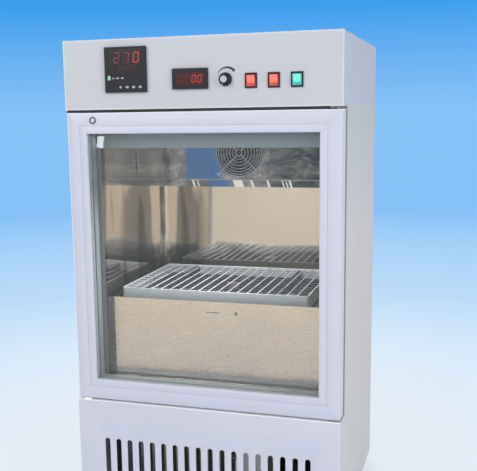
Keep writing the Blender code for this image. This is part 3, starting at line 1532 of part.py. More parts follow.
def make_drive_belt():
    """Flat belt round the motor pulley and the crank's pulley."""
    middle_z = (pulley_top_z + pulley_bottom_z) / 2
    slack = facet_slack(big_pulley_radius, 26)
    plate_outline("drive_belt", [belt_line(running_gap + slack + belt_thickness),
                                 belt_line(running_gap + slack)],
                  belt_height, "rubber", (*main_crank_place, middle_z), (0, 0, 0))


def facet_slack(radius, steps):
    """How far a line of straight steps round half a circle cuts inside the circle."""
    return radius * (1 - math.cos(math.pi / (2 * steps)))


def make_drive_cover():
    """Folded cover over the drive: front with an upstanding lip, top with pin holes, rear leg."""
    half = chamber_width / 2 - cover_wall_air
    near = back(cover_setback)
    far = liner_back_y - cover_wall_air
    low_z = chamber_floor_z + seam
    top = chamber_floor_z + cover_top_rise
    cover = box_piece("drive_cover", (-half, near, low_z), (half, far, top), "stainless")
    cut_box(cover, (-half - overrun, near + cover_sheet, low_z - overrun),
            (half + overrun, far - cover_sheet, top - cover_sheet))
    fuse_box(cover, (-half, near, top - cover_sheet / 2),
             (half, near + cover_sheet, chamber_floor_z + cover_lip_rise))
    clear_liner_corners(cover, low_z - overrun, top + overrun)
    holes = bmesh.new()
    for x, y in [main_crank_place, *idler_places]:
        add_rod(holes, (x, y, top - cover_sheet - overrun), (x, y, top + overrun), cover_hole_radius, 20)
    cut(cover, holes)
    screw_z = chamber_floor_z + cover_screw_rise
    fuse_rod(cover, (cover_screw_x, near - cover_screw_height, screw_z),
             (cover_screw_x, near + cover_sheet / 2, screw_z), cover_screw_radius, 16)


# Refrigeration
def make_compressor():
    """Hermetic compressor: domed can on a foot plate, with pipe stubs."""
    low_z = base_floor_z + seam
    y = back(compressor_setback)
    foot_top = low_z + compressor_foot_height
    body_low = foot_top + compressor_neck_height
    body_top = low_z + compressor_height
    crown = compressor_radius / 2
    dome = [(compressor_radius * math.sin(math.pi * i / 12),
             body_top - crown + crown * math.cos(math.pi * i / 12)) for i in range(7)]
    profile = dome + [(compressor_radius, body_low + compressor_neck_height),
                      (compressor_radius - compressor_neck_height, body_low),
                      (compressor_radius / 2, body_low), (compressor_radius / 2, low_z), (0, low_z)]
    can = turned("compressor", [(r, z - low_z) for r, z in profile], "black_enamel",
                 (compressor_x, y, low_z), sides=24)
    fuse_box(can, (compressor_x - compressor_foot_width / 2, y - compressor_foot_depth / 2, low_z),
             (compressor_x + compressor_foot_width / 2, y + compressor_foot_depth / 2, foot_top))
    pipes = bmesh.new()
    for side in (-1, 1):
        x = compressor_x + side * compressor_radius / 2
        add_rod(pipes, (x, y, body_top - crown), (x, y, body_top + pipe_rise), pipe_radius, 12)
    fuse(can, pipes)


def make_condenser():
    """Finned condenser that stands behind the slotted front."""
    low_z = base_floor_z + seam
    near = back(condenser_setback)
    low = (condenser_x - condenser_width / 2, near, low_z)
    high = (condenser_x + condenser_width / 2, near + condenser_depth, low_z + condenser_height)
    block = box_piece("condenser", low, high, "zinc_steel")
    add_finned_cuts(block, low, high, condenser_fin_count, condenser_fin_gap, condenser_end_plate)
    tubes = bmesh.new()
    middle_y = near + condenser_depth / 2
    for share in (0.2, 0.5, 0.8):
        z = low_z + share * condenser_height
        add_rod(tubes, (high[0] - condenser_end_plate / 2, middle_y, z),
                (high[0] + 2 * condenser_tube_radius, middle_y, z), condenser_tube_radius, 12)
    fuse(block, tubes)


def build():
    """Model every piece."""
    clear_scene()
    make_outer_shell()
    make_control_panel()
    make_lower_front_panel()
    make_back_panel()
    make_power_inlet()
    make_base_pan()
    make_feet()
    make_chamber_front_flange()
    make_chamber_liner()
    make_foam_insulation()
    make_hinge_brackets()
    make_door()
    make_lock_keeper()
    make_temp_controller()
    make_speed_meter()
    make_speed_control()
    make_switches()
    make_power_board()
    make_air_duct_cover()
    make_fan_guard()
    make_fan()
    make_heater_coil()
    make_evaporator()
    make_platform(pivot_empty("platform_axis", (*main_pin_place, pin_top_z)))
    make_main_crank()
    make_idler_cranks()
    make_drive_base()
    make_drive_motor()
    make_drive_belt()
    make_drive_cover()
    make_compressor()
    make_condenser()


build()
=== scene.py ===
# %% [markdown]
# # An incubated shaker, dressed in cells
# An incubated shaker is a warm cupboard with a glass door, in which a platform slides round in
# small circles and stirs what stands on it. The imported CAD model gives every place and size. This
# script loads it as a fixed frame, and adds the surfaces and finishes that the CAD leaves out.

# %% Load the frame and keep its box
import json
import math

import bmesh
import bpy
import numpy as np
from mathutils import Matrix, Vector


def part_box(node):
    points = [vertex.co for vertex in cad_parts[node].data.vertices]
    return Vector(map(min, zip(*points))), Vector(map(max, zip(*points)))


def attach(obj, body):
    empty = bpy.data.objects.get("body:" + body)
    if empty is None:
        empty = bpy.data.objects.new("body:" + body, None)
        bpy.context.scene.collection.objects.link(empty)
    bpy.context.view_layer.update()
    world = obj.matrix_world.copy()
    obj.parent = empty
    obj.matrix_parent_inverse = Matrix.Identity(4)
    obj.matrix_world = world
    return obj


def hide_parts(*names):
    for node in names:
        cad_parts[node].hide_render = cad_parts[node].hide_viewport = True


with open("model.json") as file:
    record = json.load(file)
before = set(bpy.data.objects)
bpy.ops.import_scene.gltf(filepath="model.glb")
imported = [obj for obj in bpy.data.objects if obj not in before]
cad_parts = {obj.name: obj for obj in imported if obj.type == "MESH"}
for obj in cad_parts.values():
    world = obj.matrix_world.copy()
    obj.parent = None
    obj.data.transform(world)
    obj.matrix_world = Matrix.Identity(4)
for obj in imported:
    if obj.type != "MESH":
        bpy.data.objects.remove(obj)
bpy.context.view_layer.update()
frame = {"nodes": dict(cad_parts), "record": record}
MM = 0.001

# %% Boxes of the CAD nodes
X, Y, Z = 0, 1, 2


class Box:
    """Lowest and highest corner of a CAD node, its middle and its half size, in metres."""

    def __init__(self, name):
        self.low, self.high = (np.array(corner, float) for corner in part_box(name))
        self.middle = (self.low + self.high) / 2
        self.half = (self.high - self.low) / 2


panel, door = Box("control_panel"), Box("door_frame")
glass_door_front = door.low[Y]
print("door:", np.round(2 * door.half / MM, 1), "mm")

# %% [markdown]
# ## The camera
# The photograph was taken from a little above the door's upper edge, to the right of the cabinet.
# Its place, its turn and its lens were fitted to straight edges of the cabinet. The turn is written
# as three axes, because an axis can be checked by eye: right, up, and back towards the viewer.

# %% Camera at the photograph's viewing angle
PHOTO_WIDTH, PHOTO_HEIGHT, SENSOR_WIDTH = 477, 471, 36.0
FOCAL_PIXELS, PRINCIPAL = 832.5, (217.1, 253.6)
CAMERA_PLACE = (0.5686, -1.9357, 0.9553)
CAMERA_RIGHT = (0.954506, 0.297777, -0.015697)
CAMERA_UP = (-0.035297, 0.165098, 0.985645)
CAMERA_BACK = (0.296094, -0.940251, 0.168098)

lens = bpy.data.cameras.new("photo_camera")
lens.sensor_width = SENSOR_WIDTH
lens.lens = FOCAL_PIXELS * SENSOR_WIDTH / PHOTO_WIDTH
lens.shift_x = (PHOTO_WIDTH / 2 - PRINCIPAL[0]) / PHOTO_WIDTH
lens.shift_y = (PRINCIPAL[1] - PHOTO_HEIGHT / 2) / PHOTO_WIDTH
camera = bpy.data.objects.new("photo_camera", lens)
turn = Matrix((CAMERA_RIGHT, CAMERA_UP, CAMERA_BACK)).transposed().to_4x4()
camera.matrix_world = Matrix.Translation(CAMERA_PLACE) @ turn
bpy.context.scene.collection.objects.link(camera)
bpy.context.scene.camera = camera
bpy.context.scene.view_settings.view_transform = "Standard"
print("camera: lens", round(lens.lens, 2), "mm, shift", round(lens.shift_x, 4), round(lens.shift_y, 4))

# %% [markdown]
# ## Shader maths as Python expressions
# A material is a graph of nodes, and a graph is hard to read when it is written node by node. A
# small class wraps a socket, and its operators add the Math nodes. So 1 - mask * 0.4 is written as
# it is here, and each material stays a few lines long.

# %% A socket that can stand in a sum
class Value:
    """A socket of a graph of nodes that can stand in a sum: each operator adds one Math node."""

    def __init__(self, graph, socket):
        self.graph = graph
        self.socket = socket

    def __add__(self, other):
        return self.graph.math("ADD", self, other)

    def __sub__(self, other):
        return self.graph.math("SUBTRACT", self, other)

    def __rsub__(self, other):
        return self.graph.math("SUBTRACT", other, self)

    def __mul__(self, other):
        return self.graph.math("MULTIPLY", self, other)

    def __truediv__(self, other):
        return self.graph.math("DIVIDE", self, other)

    def __gt__(self, other):
        return self.graph.math("GREATER_THAN", self, other)

    def __lt__(self, other):
        return self.graph.math("LESS_THAN", self, other)

    __radd__ = __add__
    __rmul__ = __mul__


class Graph:
    """The nodes of a material or of the world, and the shader that they feed."""

    def __init__(self, tree, shader):
        self.tree = tree
        self.shader = tree.nodes[shader]

    def node(self, kind, settings=None, inputs=None, output=0):
        """Any node: its settings first, then the values or links of its sockets."""
        made = self.tree.nodes.new("ShaderNode" + kind)
        for key, value in (settings or {}).items():
            if key == "stops":
                ramp = made.color_ramp.elements
                while len(ramp) < len(value):
                    ramp.new(1.0)
                for stop, (place, color) in zip(ramp, value):
                    stop.position = place
                    stop.color = (*color, 1.0)
            else:
                setattr(made, key, value)
        for key, value in (inputs or {}).items():
            self.feed(made.inputs[key], value)
        return Value(self, made.outputs[output])

    def feed(self, socket, value):
        """Give a socket a link, a number, or a colour or vector."""
        if isinstance(socket, str):
            socket = self.shader.inputs[socket]
        if isinstance(value, Value):
            self.tree.links.new(value.socket, socket)
        elif isinstance(value, tuple) and len(value) < len(socket.default_value):
            socket.default_value = (*value, 1.0)
        else:
            socket.default_value = value

    def math(self, operation, first, second=0.5):
        return self.node("Math", {"operation": operation}, {0: first, 1: second})

    def clamp(self, value):
        return self.node("Clamp", None, {0: value})

    def mix(self, factor, first, second):
        """Colour that goes from first to second."""
        return self.node("Mix", {"data_type": "RGBA"}, {0: factor, 6: first, 7: second}, 2)

    def ramp(self, value, *stops):
        return self.node("ValToRGB", {"stops": stops}, {0: value})

    def ray(self, kind):
        """1 for one kind of ray, and 0 for the others."""
        return self.node("LightPath", output=f"Is {kind} Ray")

    def blend(self, output, share, other):
        """Show another shader in place of this one, by a share."""
        own = Value(self, self.shader.outputs[0])
        self.feed(self.tree.nodes[output].inputs[0], self.node("MixShader", None, {0: share, 1: own, 2: other}))


looks = {}


class Finish(Graph):
    """One material, kept in looks. Its patterns are masks and noises on the object's own place."""

    def __init__(self, name, **fixed):
        self.material = looks[name] = bpy.data.materials.new(name + "_finish")
        self.material.use_nodes = True
        super().__init__(self.material.node_tree, "Principled BSDF")
        for socket, value in fixed.items():
            self.feed(socket.replace("_", " "), value)

    def spot(self):
        """The point's own place in the object's metres."""
        return self.node("TexCoord", output=3)

    def axis(self, number):
        """One coordinate of the point."""
        return self.node("SeparateXYZ", None, {0: self.spot()}, number)

    def past(self, number, edge, sharp):
        """0 below an edge on one axis and 1 above it, over 1 / sharp metres."""
        return self.clamp((self.axis(number) - edge) * sharp)

    def short(self, number, edge, sharp):
        """1 below an edge on one axis and 0 above it, over 1 / sharp metres."""
        return self.clamp((edge - self.axis(number)) * sharp)

    def between(self, number, low, high):
        """1 between two edges on one axis, and 0 outside them."""
        return (self.axis(number) > low) * (self.axis(number) < high)

    def noise(self, scale, stretch=(1.0, 1.0, 1.0), detail=2.0):
        """Noise whose lumps are 1 / scale metres wide, drawn out where stretch is below 1."""
        place = self.node("Mapping", None, {0: self.spot(), 3: stretch})
        return self.node("TexNoise", None, {"Vector": place, "Scale": scale, "Detail": detail})

    def spots(self, level, sharp, *noise):
        """Where a noise is above a level: 1 inside the spots, 0 outside, with edges that are sharp."""
        return self.clamp((self.noise(*noise) - level) * sharp)

    def bump(self, height, distance=1.0, strength=1.0):
        """Feed a height to the shader's normal."""
        made = self.node("Bump", None, {"Strength": strength, "Distance": distance, "Height": height})
        self.feed("Normal", made)


def shade(color, factor):
    """A colour made darker or lighter by one factor."""
    return tuple(min(1.0, channel * factor) for channel in color)


print("shader sums ready")

# %% [markdown]
# ## Paint
# Sheet steel like this is powder coated: the powder melts into a film with a faint orange peel. A
# low bump makes the peel, and slow clouds of tone and gloss keep a large flat side from looking
# like one flat colour. Low down, light is painted into the tone, which turns paler and warmer.

# %% Powder coat
PEEL_SCALE, PEEL_HEIGHT, PEEL_STRENGTH = 420.0, 0.05 * MM, 0.6
CLOUD_SCALE, SMEAR_SCALE, SMEAR_DRAWN = 3.1, 22.0, 0.35
DARKER, LIGHTER, GLOSS_SPREAD, LOW_LIGHT_FROM = 0.965, 1.03, 0.16, 0.7


def powder_coat(name, color, rough, low_light_tone=None, edge=None):
    """Powder coat: clouds of tone, smears of gloss, orange peel, and a paler tone lower down painted as light.
    """
    finish = Finish(name, IOR=1.5)
    cloud = finish.noise(CLOUD_SCALE, detail=3.0)
    smear = finish.noise(SMEAR_SCALE, (1.0, 1.0, SMEAR_DRAWN), 4.0)
    tone = finish.mix(cloud, shade(color, DARKER), shade(color, LIGHTER))
    # painted light: lower down the tone turns paler and warmer
    if low_light_tone:
        tone = finish.mix(finish.clamp((LOW_LIGHT_FROM - finish.axis(Z)) / LOW_LIGHT_FROM), tone, low_light_tone)
    if edge:
        tone = edge(finish, tone)
    finish.feed("Base Color", tone)
    finish.feed("Roughness", (rough - GLOSS_SPREAD / 2) + GLOSS_SPREAD * smear)
    finish.bump(finish.noise(PEEL_SCALE, detail=1.0), PEEL_HEIGHT, PEEL_STRENGTH)


print("powder coat ready")

# %% [markdown]
# The coat isn't the same all over, and light and shade are painted into it as well: a painted
# highlight along a bend and round the control panel, greener painted shade in a deep reveal,
# warmer painted shade at the header's left end, and paler painted light low on the side. The
# control box was painted apart from the cabinet. Each such place is a band between edges that
# come from a node's own box.

# %% Painted highlights on bends, painted shade in reveals, and bands
# the panel's band width and pale colour paint a highlight round its face
PANEL_LOW_Z, HIGHLIGHT_WIDTH, PANEL_HIGHLIGHT_COLOR = 0.9632, 3 * MM, (0.80, 0.80, 0.83)
DOOR_BEND, REVEAL_FROM, REVEAL_TO, REVEAL_INSET = 2.6 * MM, 7 * MM, 0.6 * MM, 34 * MM
# a highlight painted on the door's bend, and painted shade in the reveal behind its glass
DOOR_HIGHLIGHT_COLOR, REVEAL_SHADE_COLOR = (0.93, 0.95, 1.0), (0.42, 0.49, 0.50)
# a highlight painted along the top bend of the lower front
FRONT_BEND_Z, FRONT_HIGHLIGHT_COLOR = Box("lower_hinge_bracket").low[Z] - 2.2 * MM, (0.97, 0.98, 1.0)
# SIDE_PALE is the paler tone painted low on the side as light, and the back's own colour
SIDE_PALE, SIDE_PALE_Z, SIDE_COOL = (0.60, 0.605, 0.655), 0.83, (0.50, 0.56, 0.68)
# painted shade at the left end of the header
HEADER_SHADE_COLOR, HEADER_DARK_X = (0.24, 0.245, 0.21), -0.15
# a highlight painted along the tray's rim
RIM_HIGHLIGHT_COLOR, RIM_Z = (0.98, 1.0, 1.0), Box("platform_tray").high[Z] - 1.6 * MM
BEND_SHARP, SEAM_SHARP = 1500.0, 400.0


def panel_highlight_band(finish, tone):
    """Painted highlight: a lighter band round the control panel's face."""
    outside = finish.math("MAXIMUM",
                          finish.math("ABSOLUTE", finish.axis(X)) > (panel.high[X] - HIGHLIGHT_WIDTH),
                          finish.axis(Z) > (panel.high[Z] - HIGHLIGHT_WIDTH))
    outside = finish.math("MAXIMUM", outside, finish.axis(Z) < (PANEL_LOW_Z + HIGHLIGHT_WIDTH))
    return finish.mix(outside * 0.4, tone, PANEL_HIGHLIGHT_COLOR)


def door_tone(finish, tone):
    """Painted highlight on the door's outer bend, and painted shade, a greener grey, in the reveal behind its
    glass.
    """
    bend = finish.math("MAXIMUM", finish.axis(Z) > (door.high[Z] - DOOR_BEND),
                       finish.axis(X) < (door.low[X] + DOOR_BEND))
    # painted highlight along the door's top and left bend
    tone = finish.mix(bend * 0.6, tone, DOOR_HIGHLIGHT_COLOR)
    # painted shade: a greener grey in the reveal behind the glass
    inside = finish.between(X, door.low[X] + REVEAL_INSET, door.high[X] - REVEAL_INSET)
    inside = inside * finish.between(Z, door.low[Z] + REVEAL_INSET, door.high[Z] - REVEAL_INSET)
    behind = finish.between(Y, door.low[Y] + REVEAL_FROM, door.high[Y] - REVEAL_TO)
    return finish.mix(inside * behind, tone, REVEAL_SHADE_COLOR)


def front_tone(finish, tone):
    """Painted highlight: a brighter band along the top bend of the lower front."""
    return finish.mix(finish.past(Z, FRONT_BEND_Z, BEND_SHARP), tone, FRONT_HIGHLIGHT_COLOR)


def side_tone(finish, tone):
    """Painted light, paler low on the side; and cooler beside the control box, which was painted apart."""
    # painted light: paler lower down the side
    tone = finish.mix(finish.short(Z, SIDE_PALE_Z, 7.0) * 0.85, tone, SIDE_PALE)
    return finish.mix(finish.past(Z, PANEL_LOW_Z, SEAM_SHARP), tone, SIDE_COOL)


def header_tone(finish, tone):
    """Painted shade: a darker, warmer left end of the header over the chamber."""
    return finish.mix(finish.short(X, HEADER_DARK_X, 12.0) * 0.6, tone, HEADER_SHADE_COLOR)


def rim_highlight_line(finish, tone):
    """Painted highlight: a paler line along the tray's rim, over its bend."""
    return finish.mix(finish.past(Z, RIM_Z, BEND_SHARP), tone, RIM_HIGHLIGHT_COLOR)


DOOR_WHITE = (0.625, 0.635, 0.73)
# Each paint has its colour, its roughness, a paler low tone painted as light, and its bands
PAINTS = {
    "control_paint": ((0.575, 0.575, 0.612), 0.44, None, panel_highlight_band),
    "door_paint": (DOOR_WHITE, 0.38, None, door_tone),
    "front_paint": (DOOR_WHITE, 0.38, None, front_tone),
    "wire_coat": ((0.86, 0.89, 0.92), 0.3),
    # the side's third value is its paler, warmer low tone, painted light
    "side_paint": ((0.52, 0.57, 0.62), 0.44, (0.60, 0.585, 0.60), side_tone),
    "back_paint": (SIDE_PALE, 0.44),
    "flange_paint": ((0.35, 0.42, 0.45), 0.35, None, header_tone),
    "tray_grey": ((0.58, 0.635, 0.66), 0.36, None, rim_highlight_line),
    "spacer_paint": ((0.50, 0.57, 0.59), 0.5),
}
for name, row in PAINTS.items():
    powder_coat(name, *row)
print("paints:", len(looks))

# %% [markdown]
# ## Metals
# Bare steel shows its making. Zinc plate, wire and castings have a grain in their gloss. Polished
# sheet is a metal with a low roughness, long fine rubs along the sheet and a slow wave in its
# normal, so that what it mirrors wanders as it does in the photograph.

# %% Chrome, zinc, wire and cast metal
def metal(name, color, rough, scale=260.0, height=0.02, patchy=0.12):
    """Bare metal: patches of tone, and a grain in the gloss and in the bump, in millimetres."""
    finish = Finish(name, Metallic=1.0)
    blotch = finish.noise(9.0, detail=3.0)
    grain = finish.noise(scale, detail=3.0)
    finish.feed("Base Color", finish.mix(blotch, shade(color, 1.0 - patchy), shade(color, 1.0 + patchy)))
    finish.feed("Roughness", rough * 0.75 + grain * (rough * 0.5))
    finish.bump(grain * (height * MM))


# Each metal has its colour, its roughness, and the scale, height and patchiness of its grain
METALS = {
    # a darker copy of the rack's wire: painted shade for the lower cross wires
    "wire_dull": ((0.34, 0.35, 0.37), 0.5, 300.0, 0.02, 0.05),
    "lock_dark": ((0.13, 0.13, 0.15), 0.35, 300.0, 0.02, 0.05),
    "chrome": ((0.80, 0.80, 0.81), 0.10, 180.0, 0.02, 0.04),
    "hinge_steel": ((0.30, 0.31, 0.33), 0.4),
    "zinc_steel": ((0.58, 0.59, 0.60), 0.36),
    "cast_aluminium": ((0.60, 0.60, 0.60), 0.52, 700.0, 0.08),
    "wire_bright": ((0.86, 0.89, 0.92), 0.42, 300.0, 0.02, 0.05),
}
for name, row in METALS.items():
    metal(name, *row)
print("metals:", len(METALS))

# %% Polished and brushed stainless sheet
# where and how dark the liner's painted reflections of streaks are
STREAK_X, REFLECTED_STREAK_DARK = -0.115, (0.15, 0.14, 0.14)
# width and dark tone of the cover's fold, painted as shade
COVER_FOLD, FOLD_SHADE_COLOR, FOLD_SHARP = 18 * MM, (0.25, 0.25, 0.235), 900.0
COVER_WARM, COVER_GREY, COVER_RUB = (0.83, 0.76, 0.66), (0.66, 0.63, 0.61), (0.95, 0.90, 0.82)
cover = Box("drive_cover")


def liner_steel():
    """Polished liner: a warm mirror with a slow wave, and painted reflections of dark streaks at its left end.
    """
    finish = Finish("stainless", Metallic=1.0)
    left = finish.short(X, STREAK_X, 25.0)
    # painted reflection: dark drawn streaks at the left end
    reflected_streak = finish.spots(0.49, 18.0, 15.0, (1.0, 1.0, 0.12), 1.5)
    tone = finish.mix(finish.noise(9.0, detail=3.0), (0.70, 0.65, 0.575), (0.80, 0.735, 0.645))
    finish.feed("Base Color", finish.mix(reflected_streak * left * 0.8, tone, REFLECTED_STREAK_DARK))
    rub = finish.noise(420.0, (1.0, 1.0, 0.02), 3.0)
    finish.feed("Roughness", 0.055 + rub * 0.04)
    finish.bump(finish.noise(5.0, (1.0, 1.0, 0.8), 1.0) * (6.0 * MM))


def cover_steel():
    """Brushed cover of the drive: warm above, greyer below, and painted shade on a fold at its left end."""
    finish = Finish("cover_steel", Metallic=1.0)
    cloud = finish.noise(7.0, (1.0, 1.0, 1.6), 5.0)
    drop = finish.clamp((0.55 - finish.axis(Z)) * 5.0 + (cloud - 0.5) * 1.2)
    rub = finish.noise(500.0, (0.12, 1.0, 1.0), 4.0)
    tone = finish.mix(drop, COVER_WARM, COVER_GREY)
    scratch = finish.spots(0.58, 9.0, 90.0, (0.12, 1.0, 0.6), 5.0)
    tone = finish.mix(scratch * 0.14, tone, COVER_RUB)
    # painted shade on the fold at the left end
    fold = finish.short(X, cover.low[X] + COVER_FOLD, FOLD_SHARP)
    finish.feed("Base Color", finish.mix(fold, tone, FOLD_SHADE_COLOR))
    finish.feed("Roughness", 0.2 + rub * 0.12)
    finish.bump(rub * (0.00012 * MM) + cloud * (2.0 * MM))


liner_steel()
cover_steel()
print("sheets: liner and cover")

# %% [markdown]
# The duct under the header is a mirror too, and it mirrors a brighter room. Three painted
# reflections are drawn on it: a blue patch left of the fan, dark mottles with flecks right of it,
# and slanted pale glints on the lip below its fold. A glint is a band whose distance from a
# leaning line is small.

# %% Duct sheet
LIP_TOP_Z, LIP_MIDDLE_Z, GLINT_LEAN, GLINT_SHARP = 0.792, 0.785, 0.35, 900.0
# Each glint has its place across and its half width, in millimetres
LIP_GLINTS = ((-103, 3), (-91, 2), (12, 12), (47, 3), (87, 3), (123, 2), (132, 2), (141, 3))
# colours of the duct's painted reflections: a blue patch, white glints, pale flecks, and the greys and darks of
# its mottles
REFLECTED_BLUE, GLINT_WHITE, REFLECTED_FLECK_PALE = (0.04, 0.17, 0.48), (0.97, 0.97, 0.95), (0.55, 0.60, 0.60)
REFLECTED_GREYS = ((0.13, 0.15, 0.18), (0.35, 0.37, 0.42))
REFLECTED_DARKS = ((0.012, 0.026, 0.034), (0.085, 0.115, 0.125))


def duct_steel():
    """Mirror-like steel of the duct, with painted reflections: a blue patch left of the fan, dark mottles right
    of it, pale glints on the lip.
    """
    finish = Finish("duct_steel", Metallic=1.0)
    x = finish.axis(X)
    lip = finish.axis(Z) < LIP_TOP_Z
    # painted reflection: a blue patch left of the fan
    blue_reflection = finish.clamp((x + 0.125 - lip * 0.056) * 120.0)
    blue_reflection = blue_reflection * finish.clamp((lip * 0.022 - 0.02 - x) * 60.0)
    # painted reflection: dark mottles and pale flecks
    mottle = finish.spots(0.38, 4.0, 14.0, (1.0, 1.0, 2.5), 5.0)
    fleck = finish.spots(0.56, 9.0, 60.0, (1.0, 1.0, 2.0), 6.0)
    right = finish.clamp((x - 0.06) * 14.0)
    tone = finish.mix(mottle, *REFLECTED_GREYS)
    tone = finish.mix(right * 0.9, tone, finish.mix(mottle, *REFLECTED_DARKS))
    tone = finish.mix(fleck * 0.4, tone, REFLECTED_FLECK_PALE)
    tone = finish.mix(blue_reflection * (0.80 + 0.14 * mottle), tone, REFLECTED_BLUE)
    # painted highlights: pale glints on the lip
    glint = 0.0
    for place, half in LIP_GLINTS:
        aside = x - place * MM + (finish.axis(Z) - LIP_MIDDLE_Z) * GLINT_LEAN
        glint = glint + finish.clamp((half * MM - finish.math("ABSOLUTE", aside)) * GLINT_SHARP)
    finish.feed("Base Color", finish.mix(glint * lip * 0.92, tone, GLINT_WHITE))
    finish.feed("Roughness", 0.06 + mottle * 0.1)
    finish.bump(finish.noise(9.0, (1.0, 1.0, 2.0), 2.0) * (1.6 * MM))


duct_steel()
print("duct:", len(LIP_GLINTS), "glints, finishes so far:", len(looks))

# %% [markdown]
# ## Plastics, rubber, glass and light
# Moulded plastic has a fine spark-eroded grain. Glass is thin here, so it is mostly see-through:
# its alpha is low when it is looked at squarely, and rises towards the edges as real glass does.
# The lamps under the rockers and the digits give light of their own, so they are emission. The
# cam's white cap glows too, though it is no lamp: that glow is painted light.

# %% Moulded finishes
def moulded(name, color, rough, grain=0.0, scale=900.0, coat=0.0, shine=0.5):
    """Moulded plastic, rubber or enamel: an even tone, slow gloss changes, a grain in millimetres."""
    finish = Finish(name, IOR=1.49, Coat_Weight=coat, Coat_Roughness=0.12, Specular_IOR_Level=shine)
    cloud = finish.noise(14.0, detail=3.0)
    finish.feed("Base Color", finish.mix(cloud, shade(color, 0.85), shade(color, 1.18)))
    finish.feed("Roughness", (rough - 0.06) + 0.12 * finish.noise(60.0, detail=4.0))
    finish.bump(finish.noise(scale, detail=1.0), grain * MM, 0.7)


# Each has its colour and its roughness, the height and scale of its grain, its coat and its shine
MOULDINGS = {
    "black_plastic": ((0.012, 0.014, 0.021), 0.42, 0.03, 900.0, 0.0, 0.35),
    "grey_plastic": ((0.50, 0.50, 0.52), 0.5, 0.03),
    "rubber": ((0.03, 0.03, 0.03), 0.75, 0.06, 500.0),
    "white_rubber": ((0.55, 0.56, 0.58), 0.62, 0.02, 500.0),
    "foam": ((0.72, 0.63, 0.38), 0.9, 0.5, 220.0),
    "black_enamel": ((0.016, 0.017, 0.018), 0.28, 0.04, 160.0, 0.4),
    "circuit_green": ((0.02, 0.16, 0.06), 0.42, 0.03, 300.0, 0.2),
    "smoked_window": ((0.016, 0.013, 0.017), 0.14, 0.0, 900.0, 0.6),
    "red_window": ((0.065, 0.006, 0.010), 0.14, 0.0, 900.0, 0.6),
    "red_lens": ((0.55, 0.04, 0.04), 0.25, 0.0, 900.0, 0.5),
    "green_lens": ((0.03, 0.45, 0.25), 0.25, 0.0, 900.0, 0.5),
    "digit_off": ((0.05, 0.008, 0.012), 0.3),
    "mark_pale": ((0.40, 0.42, 0.47), 0.5),
    "mark_dark": ((0.035, 0.04, 0.055), 0.5),
    "cap_grey": ((0.45, 0.50, 0.56), 0.35, 0.02, 600.0),
    "mat_dark": ((0.035, 0.036, 0.045), 0.9, 0.05, 400.0, 0.0, 0.1),
    "rotor_black": ((0.008, 0.009, 0.013), 0.7, 0.03, 900.0, 0.0, 0.1),
    # near black, painted shade for the key slot
    "dark_gap": ((0.01, 0.01, 0.01), 0.7),
}
for name, row in MOULDINGS.items():
    moulded(name, *row)
print("mouldings:", len(MOULDINGS))

# %% Lit plastic, the cam's cap with its painted glow, and glass
CAM_CAP_Z = Box("lock_cam").low[Z] + 27 * MM


def glowing(name, color, strength, base):
    """Lit plastic: its own light, a little uneven, under a smooth skin."""
    finish = Finish(name, Emission_Strength=strength)
    cloud = finish.noise(260.0, detail=2.0)
    finish.feed("Emission Color", finish.mix(cloud, shade(color, 0.75), color))
    finish.feed("Base Color", finish.mix(cloud, base, shade(base, 1.1)))
    finish.feed("Roughness", 0.2 + 0.1 * cloud)


def cam_cap():
    """Steel cam whose far end wears a white cap, with a glow painted on as light though it is no lamp."""
    finish = Finish("cam_cap", Emission_Strength=0.55)
    cap = finish.short(Z, CAM_CAP_Z, 900.0)
    cloud = finish.noise(120.0, detail=2.0)
    finish.feed("Base Color", finish.mix(cap, (0.30, 0.34, 0.40), (0.93, 0.97, 1.0)))
    # painted light: the cap gives light of its own
    finish.feed("Emission Color", finish.mix(cap * (0.9 + 0.1 * cloud), (0.0, 0.0, 0.0), (0.85, 0.96, 1.0)))
    finish.feed("Roughness", 0.25 + 0.15 * cloud)


def pane_glass():
    """Thin clear glass: low alpha with a faint green, and more mirror at a glancing angle."""
    finish = Finish("glass", IOR=1.5)
    glance = finish.node("LayerWeight", None, {0: 0.35}, 0)
    haze = finish.noise(7.0, (1.0, 1.0, 0.5), 3.0)
    finish.feed("Base Color", finish.mix(haze, (0.50, 0.53, 0.54), (0.62, 0.66, 0.67)))
    finish.feed("Alpha", finish.clamp(0.015 + glance * 0.20 + haze * 0.015))
    finish.feed("Roughness", 0.02 + haze * 0.03)


glowing("digit_bright", (0.70, 0.045, 0.05), 0.6, (0.28, 0.02, 0.02))
glowing("digit_soft", (0.32, 0.025, 0.04), 0.36, (0.16, 0.015, 0.025))
glowing("mark_green", (0.22, 0.42, 0.25), 0.4, (0.25, 0.4, 0.28))
cam_cap()
pane_glass()
print("finishes:", len(looks))

# %% [markdown]
# ## Every CAD node gets a finish
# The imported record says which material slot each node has. Most finishes are named after their
# slot, and two tables name the slots and the nodes that need another look.

# %% Dress the CAD nodes
SLOT_LOOKS = {"door_profile": "door_paint", "frame_grey": "flange_paint"}
NODE_LOOKS = {"drive_cover": "cover_steel", "air_duct_cover": "duct_steel", "glazing_spacer": "spacer_paint",
              "upper_hinge_bracket": "hinge_steel", "lower_hinge_bracket": "hinge_steel"}
node_slots = {entry["node"]: entry["material_slot"] for entry in frame["record"]["subparts"]}
for name, node in frame["nodes"].items():
    slot = node_slots[name]
    node.data.materials.clear()
    node.data.materials.append(looks[NODE_LOOKS.get(name) or SLOT_LOOKS.get(slot, slot)])
print("dressed", len(frame["nodes"]), "nodes from", len(set(node_slots.values())), "slots")

# %% [markdown]
# ## Surfaces from arrays
# Each new piece is a grid of points worked out with numpy: one index runs along a profile and the
# other along a path. The same few helpers turn a grid into faces, close it, and cap its ends.
# Profiles, outlines and radii are in millimetres, and the places they are set down at in metres.

